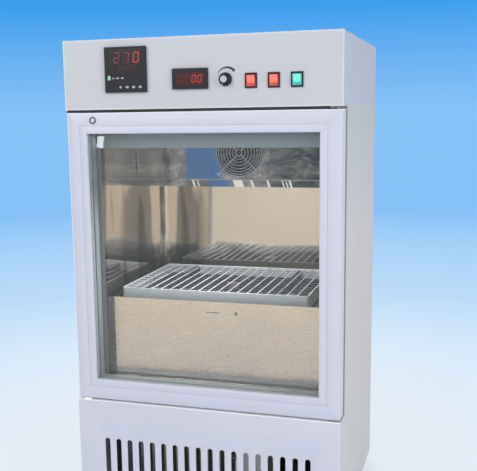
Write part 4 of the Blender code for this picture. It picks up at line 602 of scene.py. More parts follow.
# %% A grid of points becomes a patch of faces
FRONT = np.array([(1.0, 0.0, 0.0), (0.0, 0.0, 1.0), (0.0, -1.0, 0.0)])
REAR = np.array([(-1.0, 0.0, 0.0), (0.0, 0.0, 1.0), (0.0, 1.0, 0.0)])
UP = np.eye(3)
MERGE = 0.001 * MM


def near(place, x, y, z):
    """A place moved by millimetres."""
    return np.array(place) + np.array((x, y, z)) * MM


def set_down(points, place, axes=FRONT):
    """Points in millimetres, turned from their own three ways to the axes, about a place."""
    return np.array(points) @ axes * MM + np.array(place)


def patch(points, close_u=False, close_v=False, cap=False):
    """Quads between neighbours of a grid points[u, v]. Closed ways wrap round, and caps fill the
    first and the last row."""
    rows, columns = points.shape[:2]
    index = np.arange(rows * columns).reshape(rows, columns)
    u = np.arange(rows if close_u else rows - 1)
    v = np.arange(columns if close_v else columns - 1)
    after_u, after_v = (u + 1) % rows, (v + 1) % columns
    quads = np.stack([index[np.ix_(u, v)], index[np.ix_(after_u, v)],
                      index[np.ix_(after_u, after_v)], index[np.ix_(u, after_v)]], axis=-1)
    faces = quads.reshape(-1, 4).tolist()
    if cap:
        faces += [index[0][::-1].tolist(), index[-1].tolist()]
    return points.reshape(-1, 3), faces


def piece(name, patches, look, body="cabinet", replaces=(), angle=35.0):
    """One object from patches: doubles merged, faces outwards, riding on its body. Its material
    slot is its look's name."""
    points, faces, start = [], [], 0
    for part_points, part_faces in patches:
        points.append(part_points)
        faces += [[start + i for i in face] for face in part_faces]
        start += len(part_points)
    data = bpy.data.meshes.new(name)
    data.from_pydata(np.concatenate(points), [], faces)
    mesh = bmesh.new()
    mesh.from_mesh(data)
    bmesh.ops.remove_doubles(mesh, verts=mesh.verts, dist=MERGE)
    bmesh.ops.recalc_face_normals(mesh, faces=mesh.faces)
    mesh.to_mesh(data)
    mesh.free()
    data.shade_smooth()
    data.set_sharp_from_angle(angle=math.radians(angle))
    data.materials.append(looks[look])
    made = bpy.data.objects.new(name, data)
    bpy.context.scene.collection.objects.link(made)
    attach(made, body)
    if replaces:
        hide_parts(*replaces)
    print(f"{name}: {len(data.polygons)} faces on {body}")


print("patch helpers ready")

# %% Turned pieces and wires
def turned(place, profile, axes=FRONT, steps=48, flutes=0, flute_depth=0.0, flute_rows=()):
    """Turned shape: each profile pair of radius and height goes round the third axis. A fluted row
    has its radius lowered by flute_depth times half of 1 + cos(flutes * angle)."""
    radius, height = np.array(profile, float).T
    angle = np.linspace(0, 2 * np.pi, steps, endpoint=False)
    reach = np.repeat(radius[:, None], steps, axis=1)
    if flutes:
        rows = np.isin(np.arange(len(radius)), flute_rows)
        reach -= rows[:, None] * flute_depth * (1 + np.cos(flutes * angle)) / 2
    local = np.stack([reach * np.cos(angle), reach * np.sin(angle),
                      np.repeat(height[:, None], steps, axis=1)], axis=-1)
    return patch(set_down(local, place, axes), close_v=True)


def wire(path, radius, flat=(0.0, 1.0, 0.0), sides=8, closed=False):
    """Round wire along a flat path of places. Its section is a circle, spanned by the plane's
    normal and by the cross product of that normal with the path's direction."""
    path = np.array(path, float)
    ahead = np.roll(path, -1, axis=0) - path
    behind = path - np.roll(path, 1, axis=0)
    if not closed:
        ahead[-1], behind[0] = behind[-1], ahead[0]
    along = ahead / np.linalg.norm(ahead, axis=1)[:, None] + behind / np.linalg.norm(behind, axis=1)[:, None]
    along /= np.linalg.norm(along, axis=1)[:, None]
    flat = np.array(flat, float)
    across = np.cross(along, flat)
    angle = np.linspace(0, 2 * np.pi, sides, endpoint=False)
    ring = (np.cos(angle)[None, :, None] * across[:, None, :]
            + np.sin(angle)[None, :, None] * flat[None, None, :])
    return patch(path[:, None, :] + radius * MM * ring, close_u=closed, close_v=True, cap=not closed)


print("turned shapes and wires ready")

# %% Loops and what is stacked from them
CORNER_LEAST = 0.01


def rounded(half_u, half_v, radius, steps=5):
    """Loop round a rectangle with round corners: a quarter circle about each corner's centre."""
    quarter = np.linspace(0, np.pi / 2, steps + 1)
    loop = []
    for number, (side_u, side_v) in enumerate(((1, 1), (-1, 1), (-1, -1), (1, -1))):
        angle = quarter + number * np.pi / 2
        loop.append(np.stack([side_u * (half_u - radius) + radius * np.cos(angle),
                              side_v * (half_v - radius) + radius * np.sin(angle)], axis=-1))
    return np.concatenate(loop)


def circle_loop(x, y, radius, steps=32):
    """Loop of points round a circle."""
    angle = np.linspace(0, 2 * np.pi, steps, endpoint=False)
    return np.stack([x + radius * np.cos(angle), y + radius * np.sin(angle)], axis=-1)


def leaned(points, angle):
    """Flat points turned by an angle: each becomes (u cos + v sin, v cos - u sin)."""
    return points @ np.array([(math.cos(angle), -math.sin(angle)), (math.sin(angle), math.cos(angle))])


def layers(place, loops, axes=FRONT, hollow=False):
    """Loops joined in order, each with its height along the third axis. The first and the last
    loop are filled, or joined if hollow."""
    rows = [np.column_stack([loop, np.full(len(loop), height)]) for loop, height in loops]
    return patch(set_down(rows, place, axes), close_u=hollow, close_v=True, cap=not hollow)


def slab(place, outline, low, high, axes=FRONT):
    """Flat shape from a closed outline, between two heights."""
    outline = np.array(outline, float)
    return layers(place, [(outline, low), (outline, high)], axes)


def stack(place, rings, axes=FRONT, steps=5, hollow=False):
    """Rounded rectangles joined in order: half width, half height, corner radius and height."""
    return layers(place, [(rounded(half_u, half_v, max(radius, CORNER_LEAST), steps), height)
                          for half_u, half_v, radius, height in rings], axes, hollow)


def block(low, high, edge):
    """Box between two places, with its four upright edges and its rims chamfered."""
    low, high = np.array(low, float), np.array(high, float)
    u, v, w = (high - low) / 2 / MM
    rings = [(u - edge, v - edge, edge, -w), (u, v, edge, edge - w), (u, v, edge, w - edge),
             (u - edge, v - edge, edge, w)]
    return stack((low + high) / 2, rings, UP, 2)


def rails(profile, middle, half_u, half_v, gap=0.0):
    """Four mitred bars round a rectangle. A profile pair is the inset from the outer edge and the
    height; each bar's ends lie on the 45 degree mitre, short of it by a gap."""
    inset, height = np.array(profile, float).T
    corners = np.array([(1, 1), (-1, 1), (-1, -1), (1, -1)], float)
    bars = []
    for number in range(4):
        first, second = corners[number], corners[(number + 1) % 4]
        along = (second - first) / 2
        ends = []
        for corner, way in ((first, 1), (second, -1)):
            u = corner[0] * (half_u - inset) + way * along[0] * gap
            v = corner[1] * (half_v - inset) + way * along[1] * gap
            ends.append(np.stack([u, v, height], axis=-1))
        bars.append(patch(set_down(ends, middle), close_v=True, cap=True))
    return bars


print("loops and stacks ready")

# %% [markdown]
# ## The door
# The door is four mitred rails round two panes. Each rail has a flat outer face, a fine groove and
# a small lip at the glass. A profile of inset and height is carried round the rectangle, and each
# rail stops just short of its mitre, so that the joint shows as a hairline. Over the door, a dark
# rubber strip fills the gap under the control box: it is painted shade, where the gap is in shadow.

# %% Door rails, seal and the strip over the door
door_middle = (door.middle[X], glass_door_front, door.middle[Z])
door_half = door.half[[X, Z]] / MM
RAIL, GLASS_FRONT, POCKET, POCKET_BACK, MITRE_GAP = 46.0, 8.0, 37.7, 25.6, 0.12
rail_profile = [
    (0, -2), (0.6, -0.7), (2, 0), (28, 0), (28.6, -0.3), (28.9, -1.1), (29.7, -1.1), (30, -0.4), (30.7, -0.1),
    (42.6, -0.1), (44, -0.3), (45.1, -0.9), (45.8, -1.9), (RAIL, -3), (RAIL, -GLASS_FRONT),
    (POCKET, -GLASS_FRONT), (POCKET, -POCKET_BACK), (RAIL, -POCKET_BACK), (RAIL, 1 - RAIL), (RAIL - 1, -RAIL),
    (1, -RAIL), (0, 1 - RAIL),
]
piece("door_rails", rails(rail_profile, door_middle, *door_half, MITRE_GAP), "door_paint", "door",
      replaces=["door_frame"], angle=28.0)
seal = Box("door_gasket")
SEAL_WIDTH, SEAL_DEEP = 5.0, 2 * seal.half[Y] / MM
outer_side = np.array([(0, -1), (0, -0.8), (0.8, -0.62), (0.8, -0.45), (0, -0.3), (0, 0)]) * (1, SEAL_DEEP)
inner_side = (SEAL_WIDTH, 0) + outer_side[::-1] * (-1, 1)
seal_place = (door_middle[0], seal.low[Y], door_middle[2])
piece("door_seal", rails(np.concatenate([outer_side, inner_side]), seal_place, *(seal.half[[X, Z]] / MM)),
      "white_rubber", "door", replaces=["door_gasket"])
# painted shade: a dark rubber strip put in the shadowed gap over the door
strip_low = (-305.6 * MM, glass_door_front + 3 * MM, door.high[Z] + 0.5 * MM)
strip_high = (Box("upper_hinge_bracket").low[X] - 4 * MM, glass_door_front + 40 * MM, PANEL_LOW_Z)
piece("gap_shade_strip", [block(strip_low, strip_high, 0.3)], "rubber")

# %% [markdown]
# ## The lock
# A small cam lock holds the door: a dark ring round a bright barrel with a key slot, and behind the
# door a waisted cam plate with a white cap, which hangs down. All are turned or cut outlines with
# soft edges. The cam's neck is straight, because it has to pass its keeper when the key is turned.

# %% Lock ring and barrel
ring, cam = Box("lock_escutcheon"), Box("lock_cam")
lock_place = np.array((ring.middle[X], glass_door_front, ring.middle[Z]))
BORE, SLEEVE, RING = 5.2, 6.8, 8.0
ring_profile = [(BORE, -46), (BORE, 1.2), (5.6, 1.6), (RING - 1.6, 1.8), (RING - 0.7, 1.5), (RING - 0.1, 0.9),
                (RING, 0.3), (SLEEVE, 0.3), (SLEEVE, -46), (BORE, -46)]
piece("lock_ring", [turned(lock_place, ring_profile)], "lock_dark", "door", ["lock_escutcheon"])
cam_near, cam_far = (glass_door_front - cam.low[Y]) / MM, (glass_door_front - cam.high[Y]) / MM
barrel_profile = [(0, -0.5), (4.4, -0.5), (4.9, -0.8), (4.9, cam_near + 0.3), (3, cam_near + 0.3),
                  (3, cam_far), (0, cam_far)]
barrel = turned(lock_place, barrel_profile, steps=32)
piece("lock_barrel", [barrel], "chrome", "lock", replaces=["lock_cylinder"])
# painted shade: a near-black slab stands for the shade inside the key slot
key_slot = slab(near(lock_place, 0, 0.5, 0), rounded(0.6, 2.5, 0.3), -0.2, 0.05)
piece("lock_key_slot", [key_slot], "dark_gap", "lock")

# %% Cam
CAM_LEAN = math.radians(8)
HUB, NECK, PAD, WAIST, CAM_LENGTH, CAM_START, HUB_PAST = 8, 5.5, 8.5, 1.5, 62, -10, 0.75
FLARE_FROM, FLARE_LONG, PAD_FROM, CAM_EDGE = 0.42, 0.08, 0.5, 0.3


def cam_outline(shrink):
    """Round hub, straight neck and a pad drawn in by a sine, leaned and moved in by shrink."""
    hub = np.linspace(-HUB_PAST, np.pi + HUB_PAST, 25)
    hub = np.stack([(HUB - shrink) * np.cos(hub), (HUB - shrink) * np.sin(hub)], axis=-1)
    drop = np.linspace(0, 1, 27)
    flare = np.clip((drop - FLARE_FROM) / FLARE_LONG, 0, 1)
    waist = np.clip((drop - PAD_FROM) / (1 - PAD_FROM), 0, 1)
    side = NECK - shrink + (PAD - NECK) * flare - WAIST * np.sin(np.pi * waist)
    down = CAM_START + (shrink - CAM_LENGTH - CAM_START) * drop
    left, right = np.stack([-side, down], axis=-1), np.stack([side, down], axis=-1)[::-1]
    return leaned(np.concatenate([hub, left, right]), CAM_LEAN)


cam_levels = ((CAM_EDGE, cam_far), (0, cam_far + CAM_EDGE), (0, cam_near - CAM_EDGE), (CAM_EDGE, cam_near))
cam_layers = layers(lock_place, [(cam_outline(shrink), height) for shrink, height in cam_levels])
piece("lock_cam_plate", [cam_layers], "cam_cap", "lock", ["lock_cam"])

# %% [markdown]
# ## Displays and digits
# Both displays show seven-segment digits. A segment is a thin hexagon, and a table says which ones
# light up in each digit. The dark ones are made too, because they show faintly under the window.

# %% Seven-segment digits
SEGMENTS = {"0": "abcdef", "2": "abged", "7": "abc", "8": "abcdefg"}
DIGIT_SLANT, STROKE_PULL, STROKE_RISE, STROKE_SUNK = 0.13, 0.62, 0.12, -0.02


def digit(mark, place, width, height, thick, lit=True):
    """The lit, or else the dark, strokes of one slanted digit. Each is a hexagon from end to end,
    pulled in at its ends by a share of its thickness."""
    middle = height / 2
    ends = {"a": ((0, height), (width, height)), "b": ((width, middle), (width, height)),
            "c": ((width, 0), (width, middle)), "d": ((0, 0), (width, 0)), "e": ((0, 0), (0, middle)),
            "f": ((0, middle), (0, height)), "g": ((0, middle), (width, middle))}
    strokes = []
    for name in ends:
        if (name in SEGMENTS[mark]) == lit:
            start, end = np.array(ends[name], float)
            along = (end - start) / np.linalg.norm(end - start)
            start, end = start + along * thick * STROKE_PULL, end - along * thick * STROKE_PULL
            tip, side = along * thick / 2, np.array([-along[1], along[0]]) * thick / 2
            loop = np.array([start - tip, start + side, end + side, end + tip, end - side, start - side])
            loop[:, 0] += DIGIT_SLANT * loop[:, 1]
            strokes.append(slab(place, loop, 0, STROKE_RISE))
    return strokes


def screen(name, node, look):
    """Slab with round corners in place of a display's window. Gives the middle of its face."""
    window = Box(node)
    face = (window.middle[X], window.low[Y] + 0.5 * MM, window.middle[Z])
    piece(name, [slab(face, rounded(*(window.half[[X, Z]] / MM), 1.0), -1, 0)], look, replaces=[node])
    return face


face = screen("controller_screen", "temp_controller_window", "smoked_window")
BIG, BIG_LEFT, BIG_LOW, BIG_PITCH = (11.5, 20, 2.3), -26, -1.5, 22.3
SMALL, SMALL_LEFT, SMALL_LOW, SMALL_PITCH = (6.2, 10.5, 1.4), -14, -18.5, 10.5
big_places = [near(face, BIG_LEFT + number * BIG_PITCH, STROKE_SUNK, BIG_LOW) for number in range(3)]
dark, lit = [], []
for mark, place in zip("270", big_places):
    dark += digit(mark, place, *BIG, lit=False)
    lit.append(digit(mark, place, *BIG))
for number in range(4):
    dark += digit("8", near(face, SMALL_LEFT + number * SMALL_PITCH, STROKE_SUNK, SMALL_LOW), *SMALL)
piece("controller_dark_strokes", dark, "digit_off")
piece("controller_soft_digits", lit[0] + lit[1], "digit_soft")
piece("controller_bright_digit", lit[2], "digit_bright")

# %% Speed meter
face = screen("meter_screen", "speed_meter_window", "red_window")
METER, METER_LEFT, METER_LOW, METER_PITCH = (7.6, 14.5, 1.7), -21, -7.5, 12.6
dark, lit = [], []
for number, mark in enumerate("8800"):
    place = near(face, METER_LEFT + number * METER_PITCH, STROKE_SUNK, METER_LOW)
    if mark == "8":
        dark += digit(mark, place, *METER)
    else:
        lit += digit(mark, place, *METER)
        dark += digit(mark, place, *METER, lit=False)
piece("meter_dark_strokes", dark, "digit_off")
piece("meter_digits", lit, "digit_bright")

# %% [markdown]
# ## Keys, lamps and marks on the controller
# Under the screen sit a green lamp, a few pale bars and four soft keys. They are rounded stacks and
# flat slabs, thin enough to lie on the case as the real lens and print do. Each key is its own
# piece on its own body, because it is pressed on its own.

# %% The controller's small parts
case = Box("temp_controller_case")
face = (case.middle[X], case.low[Y], case.middle[Z])
LAMP_X, LAMP_Z, BAR_Z = -37.5, -17.0, -17.8
lamp_rings = [(3.4, 4.6, 1.2, -0.3), (3.4, 4.6, 1.2, 0.2), (2.9, 4.1, 0.9, 0.5)]
piece("controller_lamp", [stack(near(face, LAMP_X, 0, LAMP_Z), lamp_rings)], "mark_green")
bars = [slab(near(face, x, 0, BAR_Z), rounded(half, 1.5, 0.6), -0.1, 0.08)
        for x, half in ((-27.5, 1.9), (-17.9, 3.2), (-6.7, 3.2))]
piece("controller_bars", bars, "mark_pale")
# Each ring of a key is its inset across and upwards, its corner radius and its height
KEY_RINGS = ((0, 0, 1.6, -1.3), (0.2, 0.2, 1.7, -0.5), (0.7, 0.7, 1.6, -0.1), (1.6, 1.4, 1.2, 0))
KEY_MARK_HALF, FIRST_MARK_SHARE = 3.3, 0.7
for number in (1, 2, 3, 4):
    node = f"controller_key_{number}"
    key = Box(node)
    half_u, half_v = key.half[[X, Z]] / MM
    place = (key.middle[X], key.low[Y], key.middle[Z])
    rings = [(half_u, half_v, 1.6, -2 * key.half[Y] / MM)]
    rings += [(half_u - u, half_v - v, radius, height) for u, v, radius, height in KEY_RINGS]
    piece(f"keycap_{number}", [stack(place, rings)], "mark_dark", node, [node])
    mark = rounded(KEY_MARK_HALF * (FIRST_MARK_SHARE if number == 1 else 1), 2.2, 1)
    piece(f"key_mark_{number}", [slab(place, mark, -0.05, 0.06)], "mark_pale", node)

# %% [markdown]
# ## The speed knob and its scale
# The knob is turned: a skirt, a grip and a pale cap. A cosine round the angle presses flutes into
# the grip. Over it a dark wedge is printed on the panel, an arc that thickens clockwise: slow
# to fast. It is one outline, out along the outer radius and back along the inner one.

# %% Knob, cap, pointer and printed wedge
knob = Box("speed_knob")
knob_place = (knob.middle[X], glass_door_front, knob.middle[Z])
knob_profile = [(0, 16.2), (7.2, 16.2), (8.2, 15.9), (8.8, 15), (8.8, 11), (8.8, 6.6), (9.5, 5.5), (12.9, 4.8),
                (13.8, 4), (14, 0.9), (7.5, 0.8), (7.5, 3.3), (3, 3.3), (3, -14.2), (0, -14.2)]
grip = turned(knob_place, knob_profile, steps=120, flutes=20, flute_depth=0.9, flute_rows=(3, 4, 5))
piece("knob_grip", [grip], "black_plastic", "speed_knob", replaces=["speed_knob"])
cap_profile = [(0, 17), (5.9, 17), (6.7, 16.8), (7, 16.4), (7, 15.6), (0, 15.6)]
piece("knob_cap", [turned(knob_place, cap_profile)], "cap_grey", "speed_knob")
POINTER_ANGLE, POINTER_FROM, POINTER_TO, POINTER_HALF = math.radians(-120), 9.8, 13.0, 0.6
way = np.array([math.cos(POINTER_ANGLE), math.sin(POINTER_ANGLE)])
side = np.array([-way[1], way[0]]) * POINTER_HALF
pointer = [way * POINTER_FROM + side, way * POINTER_FROM - side,
           way * POINTER_TO - side, way * POINTER_TO + side]
piece("knob_pointer", [slab(knob_place, pointer, 4.4, 5.45)], "mark_pale", "speed_knob")
WEDGE_PLACE, WEDGE_RADIUS = (2.6, 2.6), 21.5
WEDGE_START, WEDGE_END, WEDGE_THIN, WEDGE_THICK = math.radians(154), math.radians(39), 1.3, 6.0
sweep = np.linspace(0, 1, 33)
angle = WEDGE_START + (WEDGE_END - WEDGE_START) * sweep
half = (WEDGE_THIN + (WEDGE_THICK - WEDGE_THIN) * sweep)[:, None] / 2
ray = np.stack([np.cos(angle), np.sin(angle)], axis=-1)
wedge = np.concatenate([ray * (WEDGE_RADIUS + half), (ray * (WEDGE_RADIUS - half))[::-1]]) + WEDGE_PLACE
piece("speed_scale", [slab(knob_place, wedge, -0.1, 0.08)], "mark_dark")

# %% [markdown]
# ## Lit rockers
# Each rocker is a bowed key with a valley across its middle, lit from behind. Its side outline is
# carried from one cheek to the other, drawn in a little at the cheeks so that the edges are soft.
# The light is strongest under the raised half and dies towards the foot, as in the photograph.

# %% Rocker lenses
ROCKER_HALF, ROCKER_TILT, ROCKER_PIVOT, ROCKER_DEPTH, NOSE_SHARE = 12.3, math.radians(9), 3.0, 7.0, 0.93
CHEEK, VALLEY_POWER = 0.5, 1.15
LIGHT_STOPS, LIGHT_X, LIGHT_Z, LIGHT_SHARP = (0.0, 0.24, 0.34, 0.6, 1.0), 6.6, 9.6, 450.0
RED_LIGHT = [(0.22, 0.005, 0.02), (0.30, 0.02, 0.02), (0.95, 0.16, 0.10), (0.95, 0.22, 0.20), (0.85, 0.20, 0.26)]
GREEN_LIGHT = [(0.0, 0.12, 0.10), (0.02, 0.28, 0.22), (0.13, 0.78, 0.66), (0.24, 0.88, 0.78), (0.20, 0.70, 0.62)]
reach = ROCKER_HALF * math.tan(ROCKER_TILT)
across = np.linspace(-1, 1, 25)
valley = np.stack([reach * np.abs(across) ** VALLEY_POWER, ROCKER_HALF * NOSE_SHARE * across], axis=-1)
under = [(reach - ROCKER_DEPTH, ROCKER_HALF), (-ROCKER_DEPTH, ROCKER_HALF / 2),
         (-ROCKER_DEPTH, -ROCKER_HALF / 2), (reach - ROCKER_DEPTH, -ROCKER_HALF)]
rocker_side = leaned(np.concatenate([valley, under]) + (ROCKER_PIVOT, 0.0), ROCKER_TILT)


def lit_lens(name, colors, switch_x, switch_z):
    """Lit lens: colours of the light from its foot to its top, over a body of the same tint."""
    finish = Finish(name, Emission_Strength=0.85, Coat_Weight=0.4, Coat_Roughness=0.1)
    foot_z, tall = switch_z - ROCKER_HALF * MM, 2 * ROCKER_HALF * MM
    glow = finish.ramp(finish.clamp((finish.axis(Z) - foot_z) / tall), *zip(LIGHT_STOPS, colors))
    ripple = finish.noise(700.0, (1.0, 1.0, 0.2), 2.0)
    aside = finish.math("ABSOLUTE", finish.axis(X) - switch_x)
    above = finish.math("ABSOLUTE", finish.axis(Z) - switch_z)
    dim = finish.clamp((aside - LIGHT_X * MM) * LIGHT_SHARP)
    dim = dim + finish.clamp((above - LIGHT_Z * MM) * LIGHT_SHARP)
    finish.feed("Emission Color", finish.mix(finish.clamp(ripple * 0.25 + dim * 0.92), glow, colors[0]))
    finish.feed("Base Color", finish.mix(ripple, shade(colors[2], 0.35), shade(colors[2], 0.45)))
    finish.feed("Roughness", 0.22 + ripple * 0.1)


ROCKERS = ((1, RED_LIGHT, "red_lens"), (2, RED_LIGHT, "red_lens"), (3, GREEN_LIGHT, "green_lens"))
for number, colors, slot in ROCKERS:
    node, lens_name = f"rocker_{number}", f"lens_{number}"
    rocker, housing = Box(node), Box(f"switch_housing_{number}")
    lit_lens(lens_name, colors, rocker.middle[X], housing.middle[Z])
    half_x = rocker.half[X] / MM
    rows = []
    for x, inset in ((-half_x, CHEEK), (CHEEK - half_x, 0), (half_x - CHEEK, 0), (half_x, CHEEK)):
        loop = rocker_side * (1 - inset / ROCKER_HALF)
        rows.append(np.column_stack([np.full(len(loop), x), -loop[:, 0], loop[:, 1]]))
    place = (rocker.middle[X], housing.low[Y] + ROCKER_PIVOT * MM, housing.middle[Z])
    lens_patch = patch(set_down(rows, place, UP), close_v=True, cap=True)
    piece(f"rocker_lens_{number}", [lens_patch], lens_name, node, [node])

# %% [markdown]
# ## The shaking platform
# The platform is a shallow pressed tray. Its wall is one stack of rounded rectangles: up the
# outside, over the rim and down the inside. On rails in it lies a grid of straight wires, which
# are round bars here, a layer along and a layer across, as in a welded rack.

# %% A plate with holes
def drilled(place, loops, low, high, axes=FRONT, edge=0.0):
    """Plate between two heights. Its loops are a flat curve, which Blender fills with even-odd
    holes; the curve's extrusion gives the thickness and its bevel the broken edge."""
    curve = bpy.data.curves.new("plate_outline", "CURVE")
    curve.dimensions = "2D"
    curve.fill_mode = "BOTH"
    curve.extrude = ((high - low) / 2 - edge) * MM
    curve.bevel_depth = edge * MM
    curve.bevel_resolution = 1
    for loop in loops:
        line = curve.splines.new("POLY")
        line.points.add(len(loop) - 1)
        line.points.foreach_set("co", np.column_stack([loop * MM, 0 * loop[:, 0], 1 + 0 * loop[:, 0]]).ravel())
        line.use_cyclic_u = True
    helper = bpy.data.objects.new("plate_outline", curve)
    bpy.context.scene.collection.objects.link(helper)
    bpy.context.view_layer.update()
    data = bpy.data.meshes.new_from_object(helper.evaluated_get(bpy.context.evaluated_depsgraph_get()))
    bpy.data.objects.remove(helper)
    flat = np.empty(len(data.vertices) * 3)
    data.vertices.foreach_get("co", flat)
    flat = flat.reshape(-1, 3) + (0, 0, (high + low) / 2 * MM)
    return flat @ axes + np.array(place), [list(face.vertices) for face in data.polygons]


print("plates ready")

# %% Tray and its mat
tray, rack = Box("platform_tray"), Box("platform_wire_rack")
tray_foot = (tray.middle[X], tray.middle[Y], tray.low[Z])
tray_u, tray_v, tray_tall = tray.half[X] / MM, tray.half[Y] / MM, 2 * tray.half[Z] / MM
WALL, FLOOR, AIR = 3.0, 3.0, 0.5
# Each ring of the tray is its inset, its corner radius and its height
TRAY_RINGS = ((1.6, 4.4, 0), (0.4, 5.6, 0.5), (0, 6, 1.7), (0, 6, tray_tall - 1.2), (0.4, 5.6, tray_tall - 0.3),
              (1.5, 4.5, tray_tall), (2.6, 3.4, tray_tall - 0.3), (WALL, 3, tray_tall - 1.2), (WALL, 3, FLOOR),
              (WALL, 3, 0))
tray_rings = [(tray_u - inset, tray_v - inset, radius, height) for inset, radius, height in TRAY_RINGS]
BUSHES = ((0, 10), (-165, -90), (165, -90), (0, 115))
BUSH, BORE, BUSH_TOP, BORE_TOP = 15, 5.3, 17, 14.3
floor_loops = [rounded(tray_u - 2.9, tray_v - 2.9, 3)] + [circle_loop(*spot, BORE) for spot in BUSHES]
parts = [stack(tray_foot, tray_rings, UP, 4, hollow=True), drilled(tray_foot, floor_loops, 0, FLOOR, UP)]
piece("tray_pressing", parts, "tray_grey", "platform", replaces=["platform_tray"])
bush_profile = [(BORE, 0), (BUSH, 0), (BUSH, BUSH_TOP - 1), (BUSH - 1, BUSH_TOP), (0, BUSH_TOP), (0, BORE_TOP),
                (BORE, BORE_TOP), (BORE, 0)]
piece("tray_bushes", [turned(near(tray_foot, x, y, 0), bush_profile, UP, 32) for x, y in BUSHES],
      "cast_aluminium", "platform")
REST_X, REST_HALF, REST_INSET = 137.64 * MM, 4 * MM, 3.2 * MM
parts = [block((x - REST_HALF, tray.low[Y] + REST_INSET, tray.low[Z] + FLOOR * MM),
               (x + REST_HALF, tray.high[Y] - REST_INSET, rack.low[Z] + 0.2 * MM), 0.8)
         for x in (-REST_X, REST_X)]
mat_loops = [rounded(tray_u - WALL - AIR, tray_v - WALL - AIR, 2)]
mat_loops += [circle_loop(*spot, BUSH + AIR) for spot in BUSHES]
parts.append(drilled(tray_foot, mat_loops, FLOOR - 0.1, FLOOR + 1.5, UP, 0.2))
piece("tray_mat", parts, "mat_dark", "platform")

# %% Wire rack
WIRE, CROSS_WIRE, COLUMNS, ROWS, END = 1.3, 0.8, 18, 11, 0.3


def bar_layer(count, span, reach, z, radius, across=False):
    """Straight wires side by side, evenly spaced over a half span, each reaching both ways."""
    made = []
    for share in (np.arange(count) + 1) / (count + 1):
        aside = 2 * span * share - span
        ends = np.array([(aside, END - reach, 0), (aside, reach - END, 0)])
        if across:
            ends = ends[:, [1, 0, 2]]
        made.append(wire(set_down(ends, (tray.middle[X], tray.middle[Y], z), UP), radius, (0, 0, 1), 10))
    return made


inner_u, inner_v = tray_u - WALL, tray_v - WALL
cross_z, along_z = rack.low[Z] + (CROSS_WIRE + 0.6) * MM, rack.high[Z] - WIRE * MM
cross_wires = bar_layer(ROWS, inner_v, inner_u, cross_z, CROSS_WIRE, across=True)
# painted shade: the lower cross wires take a darker copy of the wire
piece("rack_cross_wires", cross_wires, "wire_dull", "platform")
piece("rack_wires", bar_layer(COLUMNS, inner_u, inner_v, along_z, WIRE), "wire_coat", "platform",
      ["platform_wire_rack"])

# %% [markdown]
# ## Fan and guard
# Behind the duct's round opening turns an axial fan. A blade is a thin section that twists as it
# goes outwards, flatter at the tip than at the root. The guard in front is eight round wires on
# four crossed legs, each with an eye for its screw, and a dark boss in the middle.

# %% Guard wires and boss
guard_box, duct = Box("fan_guard"), Box("air_duct_cover")
fan_place = np.array((guard_box.middle[X], duct.low[Y] - 4 * MM, guard_box.middle[Z]))
GUARD_RINGS, RING_WIRE, LEG_WIRE = (56.6, 51.2, 45.4, 38.4, 30.9, 23.3, 15.8, 8.3), 0.95, 1.2
LEG_FROM, LEG_PROUD, EYE_REACH = 4, 1.6, 74 * math.sqrt(0.5)
eye_profile = [(0, 4.9), (1.4, 4.9), (1.5, 4.2), (2.4, 4.2), (2.6, 3.1), (3.9, 3), (3.9, 0.3), (0, 0.3)]
round_way = np.linspace(0, 2 * np.pi, 96, endpoint=False)
circle = np.stack([np.cos(round_way), np.zeros(96), np.sin(round_way)], axis=-1)
guard = [wire(set_down(circle * radius, fan_place, UP), RING_WIRE, closed=True) for radius in GUARD_RINGS]
for side in (-1, 1):
    for rise in (-1, 1):
        ends = [near(fan_place, side * reach, LEG_PROUD, rise * reach) for reach in (LEG_FROM, EYE_REACH - 2)]
        guard.append(wire(ends, LEG_WIRE, sides=10))
        guard.append(turned(near(fan_place, side * EYE_REACH, 4, rise * EYE_REACH), eye_profile, steps=24))
piece("guard_wires", guard, "wire_coat", "cabinet", ["fan_guard"])
boss = [(0, 1.3), (5, 1.3), (6, 0.8), (6, -2.2), (0, -2.2)]
piece("guard_boss", [turned(fan_place, boss, steps=32)], "mark_dark")

# %% Twisted blades
HUB_RADIUS, TIP_RADIUS, BLADES, BLADE_BACK, SWEEP = 20, 54, 7, 6, 6
rotor_face = (fan_place[X], duct.low[Y] + 2.7 * MM, fan_place[Z])
along = np.linspace(0, 1, 9)[:, None]
round_section = np.linspace(0, 2 * np.pi, 20, endpoint=False)


def blade(turn_angle):
    """Blade: an ellipse of chord and thickness, pitched by an angle that falls from root to tip."""
    radius = HUB_RADIUS - 1 + (TIP_RADIUS - HUB_RADIUS + 1) * along
    run = (8.0 + 2.2 * np.sin(np.pi * along)) * np.cos(round_section)
    rise = (1.1 - 0.5 * along) * np.sin(round_section)
    pitch = np.radians(44 - 20 * along)
    y = -(run * np.sin(pitch)) + rise * np.cos(pitch)
    side = run * np.cos(pitch) + rise * np.sin(pitch) + SWEEP * along ** 2
    angle = turn_angle + side / radius
    points = np.stack([radius * np.cos(angle), y, radius * np.sin(angle)], axis=-1)
    return patch(set_down(points, near(rotor_face, 0, BLADE_BACK, 0), UP), close_v=True, cap=True)


hub_back = (rotor_face[Y] - Box("fan_rotor").high[Y]) / MM
hub_profile = [(0, -0.6), (7, -0.6), (7.6, 0), (17, 0), (19.2, -0.8), (20, -2.6), (20, -12), (2.5, -12),
               (2.5, hub_back), (0, hub_back)]
rotor = [blade(2 * np.pi * number / BLADES) for number in range(BLADES)] + [turned(rotor_face, hub_profile)]
piece("rotor_blades", rotor, "rotor_black", "fan_rotor", ["fan_rotor"])

# %% [markdown]
# ## The slotted front
# Air for the condenser comes in through eighteen upright slots with round ends. The panel is a
# drilled plate again. The folded flange under the door is a block behind it, and a small stop
# stands on it at the left.

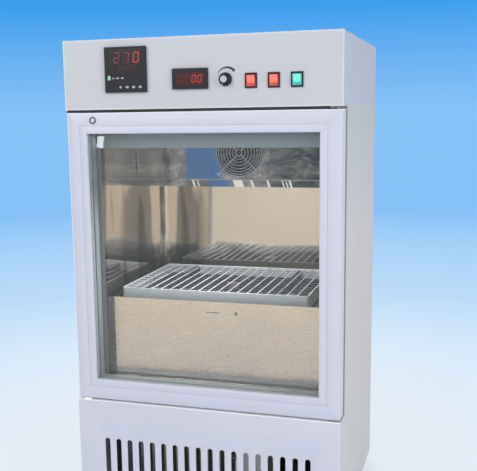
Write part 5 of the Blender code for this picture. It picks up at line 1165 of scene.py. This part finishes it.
# %% Lower front panel
front = Box("lower_front_panel")
front_top = Box("lower_hinge_bracket").low[Z] - 0.3 * MM
PANEL_SHEET, SLOTS, SLOT_PITCH, SLOT_HALF, SLOT_TOP, SLOT_LENGTH = 1.2, 18, 27.9, 6.4, 207.5, 125
FLANGE_HALF, STOP_LEFT, STOP_RIGHT, EDGE = 306.5 * MM, -293.5 * MM, -275.5 * MM, 0.2


def slot_loop(x):
    """Upright slot with round ends."""
    top = np.linspace(0, np.pi, 13)
    return np.concatenate([np.stack([x + SLOT_HALF * np.cos(angle), centre + SLOT_HALF * np.sin(angle)], axis=-1)
                           for angle, centre in ((top, SLOT_TOP - SLOT_HALF),
                                                 (top + np.pi, SLOT_TOP - SLOT_LENGTH + SLOT_HALF))])


left, right = front.low[X] / MM + EDGE, front.high[X] / MM - EDGE
low, high = front.low[Z] / MM + EDGE, front_top / MM - EDGE
loops = [np.array([(left, low), (right, low), (right, high), (left, high)])]
loops += [slot_loop(x) for x in (np.arange(SLOTS) - (SLOTS - 1) / 2) * SLOT_PITCH]
behind = front.low[Y] + 0.6 * MM
sheet = drilled((0, front.low[Y], 0), loops, -PANEL_SHEET, 0, edge=EDGE)
flange = block((-FLANGE_HALF, behind, front_top - PANEL_SHEET * MM), (FLANGE_HALF, front.high[Y], front_top),
               EDGE)
stop = block((STOP_LEFT, behind, front_top - 0.6 * MM),
             (STOP_RIGHT, front.low[Y] + 16 * MM, front.high[Z]), 0.5)
piece("slotted_front", [sheet, flange, stop], "front_paint", "cabinet", ["lower_front_panel"],
      angle=30.0)

# %% [markdown]
# ## Feet
# A levelling foot is a rubber pad, a lock nut and a threaded stud. The thread is a fine zigzag in
# the turned profile, and the nut is a turned shape with six steps instead of many.

# %% Levelling feet
pad = [(0, 12), (11, 12), (14.5, 11.2), (17.5, 8.6), (19, 7.4), (19, 0.8), (18.2, 0), (0, 0)]
thread = [(4.5 if i % 2 else 5, height) for i, height in enumerate(np.arange(18.7, 62.0, 0.75))]
stud = [(0, 11), (5, 11), (5, 18.6)] + thread + [(4.4, 62), (0, 62)]
nut = [(5, 18.8), (9.6, 18.8), (11, 19.6), (11, 26.9), (9.6, 27.6), (5, 27.6), (5, 18.8)]
for number in (1, 2, 3, 4):
    node = f"foot_{number}"
    place = (*Box(node).middle[:2], 0.0)
    piece(f"foot_pad_{number}", [turned(place, pad, UP)], "rubber", node, replaces=[node])
    piece(f"foot_stud_{number}", [turned(place, stud, UP, 24), turned(place, nut, UP, 6)], "zinc_steel", node,
          angle=30.0)

# %% [markdown]
# ## Small things on the steel inside
# The duct's cover is folded, so a fine bead runs along its lower edge, where the lip begins. The
# cover over the drive has a finger slit and one dark screw, whose head is dressed with a dished rim
# and a cross. They are thin slabs and turned heads that sit on the sheet they belong to. The slit
# is a dark slab of painted shade, where the real slit is an open hollow.

# %% Duct bead, cover slit and screw heads
bead = [(x, duct.low[Y] - 0.1 * MM, LIP_TOP_Z) for x in (duct.low[X] + 1 * MM, duct.high[X] - 1 * MM)]
piece("duct_bead", [wire(bead, 1.0, (0, 0, 1), 10)], "wire_bright")
COVER_FRONT, SLIT_PLACE, COVER_SCREW = -0.1936, (0.007, 0.5083), (0.062, 0.5082)
# painted shade: a dark slab where the finger slit is
slit = slab((SLIT_PLACE[0], COVER_FRONT, SLIT_PLACE[1]), rounded(16, 1.3, 1.17), -0.1, 0.15)
piece("cover_slit_shade", [slit], "hinge_steel")


def cross_loop(reach, half):
    """Twelve corners of an upright cross: three corners of one arm, turned to all four sides."""
    arm = np.array([(half, reach), (-half, reach), (-half, half)])
    return np.concatenate([arm, arm[:, ::-1] * (-1, 1), -arm, arm[:, ::-1] * (1, -1)])


def screw(place, radius, tall, axes=FRONT):
    """Cross-head screw: a dished rim round a disc drilled with the cross."""
    rim = [(radius * 0.62, tall * 0.75), (radius * 0.8, tall), (radius * 0.94, tall * 0.7), (radius, 0.0),
           (radius * 0.6, 0.0), (radius * 0.62, tall * 0.75)]
    disc = [circle_loop(0, 0, radius * 0.7, 20), cross_loop(radius * 0.48, radius * 0.13)]
    return [turned(place, rim, axes, 20), drilled(place, disc, 0, tall * 0.8, axes)]


head = screw((COVER_SCREW[0], COVER_FRONT, COVER_SCREW[1]), 3.6, 2.2)
piece("cover_screw", head, "lock_dark")

# %% [markdown]
# ## The back
# The back is one sheet held by cross-head screws. The lower part breathes through twelve slots,
# each with a sloping blade behind it that keeps fingers and drips out. The sheet is a drilled plate
# seen from behind, so its axes are turned: to the right on it is -x.

# %% Back sheet, louvre blades and screws
back, inlet = Box("back_panel"), Box("power_inlet")
VENTS, VENT_LOW, VENT_PITCH, VENT_TALL, VENT_LEFT, VENT_RIGHT = 12, 88, 15, 6, -156, 224
BACK_SHEET, INLET_AIR, SCREW_INSET, SCREW_HOLE, END_INSET = 2 * back.half[Y] / MM, 0.3, 11, 3.6, 16
SIDEWAYS = np.array([(0.0, 1.0, 0.0), (0.0, 0.0, 1.0), (1.0, 0.0, 0.0)])
BLADE_REACH, BLADE_THICK, BLADE_PAST = 9, 0.9, 3
back_middle = (back.middle[X], back.high[Y], back.middle[Z])
half_u, half_v, middle_z = back.half[X] / MM, back.half[Z] / MM, back.middle[Z] / MM
vent_z = VENT_LOW + VENT_TALL / 2 + VENT_PITCH * np.arange(VENTS)
vent_loop = rounded((VENT_RIGHT - VENT_LEFT) / 2, VENT_TALL / 2, VENT_TALL / 2 - CORNER_LEAST, 6)
loops = [rounded(half_u, half_v, 1, 2)]
loops += [vent_loop + (-(VENT_LEFT + VENT_RIGHT) / 2, z - middle_z) for z in vent_z]
loops.append(rounded(inlet.half[X] / MM + INLET_AIR, inlet.half[Z] / MM + INLET_AIR, 1.5)
             + (-inlet.middle[X] / MM, inlet.middle[Z] / MM - middle_z))
side_rows = np.linspace(back.low[Z] / MM + END_INSET, back.high[Z] / MM - END_INSET, 6)
screw_spots = [(side * (back.high[X] / MM - SCREW_INSET), z) for z in side_rows for side in (-1, 1)]
screw_spots += [(0, side_rows[0]), (0, side_rows[-1])]
loops += [circle_loop(x, z - middle_z, SCREW_HOLE, 20) for x, z in screw_spots]
piece("back_sheet", [drilled(back_middle, loops, -BACK_SHEET, 0, REAR)], "back_paint", "cabinet",
      ["back_panel"], angle=30.0)
heads = [part for x, z in screw_spots
         for part in screw((x * MM, back.high[Y] - BACK_SHEET * MM, z * MM), SCREW_HOLE, BACK_SHEET, REAR)]
piece("back_screws", heads, "zinc_steel")
blade_outline = [(0, 1.2), (0, 0), (-BLADE_REACH, -BLADE_REACH), (-BLADE_REACH - BLADE_THICK, -BLADE_REACH),
                 (-BLADE_THICK, 1.2)]
piece("louvre_blades", [slab((0, back.low[Y], (z + VENT_TALL / 2) * MM), blade_outline, VENT_LEFT - BLADE_PAST,
                             VENT_RIGHT + BLADE_PAST, SIDEWAYS) for z in vent_z], "zinc_steel")

# %% [markdown]
# ## Floor, backdrop and light
# The object stands on a pale floor that keeps its shadow. Further out the floor fades into the
# backdrop, a plain blue that deepens with distance and then with height, so that no horizon shows.
# Only rays from the camera, or mirrored or let through, see that blue.

# %% Pale floor that fades into the backdrop
NEAR_BLUE, FAR_BLUE, HIGH_BLUE = (0.83, 0.91, 0.985), (0.245, 0.54, 0.92), (0.043, 0.345, 0.845)
MIDDLE_BLUE, MIRRORED_FLOOR = (0.50, 0.72, 0.95), (0.84, 0.76, 0.66)
FLOOR_REACH, FADE_START, FADE_WIDTH, BLUE_REACH, NEAR_SHARE, SPOKES = 60.0, 0.6, 1.0, 6.0, 0.7, 64
spoke = np.linspace(0, 2 * np.pi, SPOKES, endpoint=False)
floor_mesh = bpy.data.meshes.new("floor")
floor_mesh.from_pydata(np.stack([np.cos(spoke), np.sin(spoke), 0 * spoke], axis=-1) * FLOOR_REACH, [],
                       [list(range(SPOKES))])
floor_piece = bpy.data.objects.new("floor", floor_mesh)
bpy.context.scene.collection.objects.link(floor_piece)
ground = Finish("studio_floor")
ground.feed("Base Color", ground.mix(ground.noise(1.5), (0.79, 0.86, 0.94), (0.81, 0.88, 0.96)))
ground.feed("Roughness", 0.9)
away = ground.node("VectorMath", {"operation": "LENGTH"}, {0: ground.spot()}, 1)
blue = ground.ramp(away / BLUE_REACH, (0.12, NEAR_BLUE), (0.40, MIDDLE_BLUE), (1.0, FAR_BLUE))
fade = ground.node("MapRange", {"interpolation_type": "SMOOTHSTEP"},
                   {0: away, 1: FADE_START, 2: FADE_START + FADE_WIDTH})
mirror_ray = ground.ray("Glossy")
seen = ground.math("MAXIMUM", ground.ray("Camera"), mirror_ray)
seen = ground.math("MAXIMUM", seen, ground.ray("Transmission"))
glow = ground.node("Emission", None, {"Color": ground.mix(mirror_ray, blue, MIRRORED_FLOOR)})
ground.blend("Material Output", (NEAR_SHARE + fade * (1 - NEAR_SHARE)) * seen, glow)
floor_mesh.materials.append(ground.material)
print("floor fades from", FADE_START, "m out")

# %% [markdown]
# Three large lamps and an even sky light the object at a level at which a colour renders about as
# it is written. A small lamp under the fan, which nothing mirrors, stands in for the daylight that
# the glass lets into the chamber.

# %% Lamps
# Each lamp has its place, its target, its size, its power, and whether mirrors show it
LAMPS = {
    "key": ((-1.8, -3.2, 2.6), (0, 0, 0.6), 2.4, 60.0, True),
    "fill": ((3.2, -2.0, 1.8), (0, 0, 0.6), 2.4, 62.0, True),
    "rear": ((-0.8, 3.0, 3.0), (0, 0, 0.7), 2.4, 50.0, True),
    "chamber": ((0.0, -0.1, 0.79), (0.0, -0.08, 0.5), 0.22, 1.3, False),
}
for name, (place, target, size, power, mirrored) in LAMPS.items():
    data = bpy.data.lights.new(name, "AREA")
    data.shape = "SQUARE"
    data.size = size
    data.energy = power
    lamp = bpy.data.objects.new(name, data)
    lamp.location = place
    lamp.rotation_mode = "QUATERNION"
    lamp.rotation_quaternion = (Vector(target) - Vector(place)).to_track_quat("-Z", "Y")
    lamp.visible_camera = False
    lamp.visible_glossy = mirrored
    bpy.context.scene.collection.objects.link(lamp)
print("lamps:", ", ".join(LAMPS))

# %% Sky
SKY_LIGHT, SKY_COLOR, SKY_TOP = 0.46, (0.94, 0.965, 1.0), 0.12
world = bpy.data.worlds.new("studio")
bpy.context.scene.world = world
world.use_nodes = True
sky = Graph(world.node_tree, "Background")
sky.feed("Color", SKY_COLOR)
sky.feed("Strength", SKY_LIGHT)
upwards = sky.node("SeparateXYZ", None, {0: sky.node("TexCoord", output="Generated")}, Z)
height = sky.ramp(upwards, (0.0, FAR_BLUE), (SKY_TOP, HIGH_BLUE))
sky.blend("World Output", sky.ray("Camera"), sky.node("Background", None, {"Color": height}))
print("sky", SKY_LIGHT)
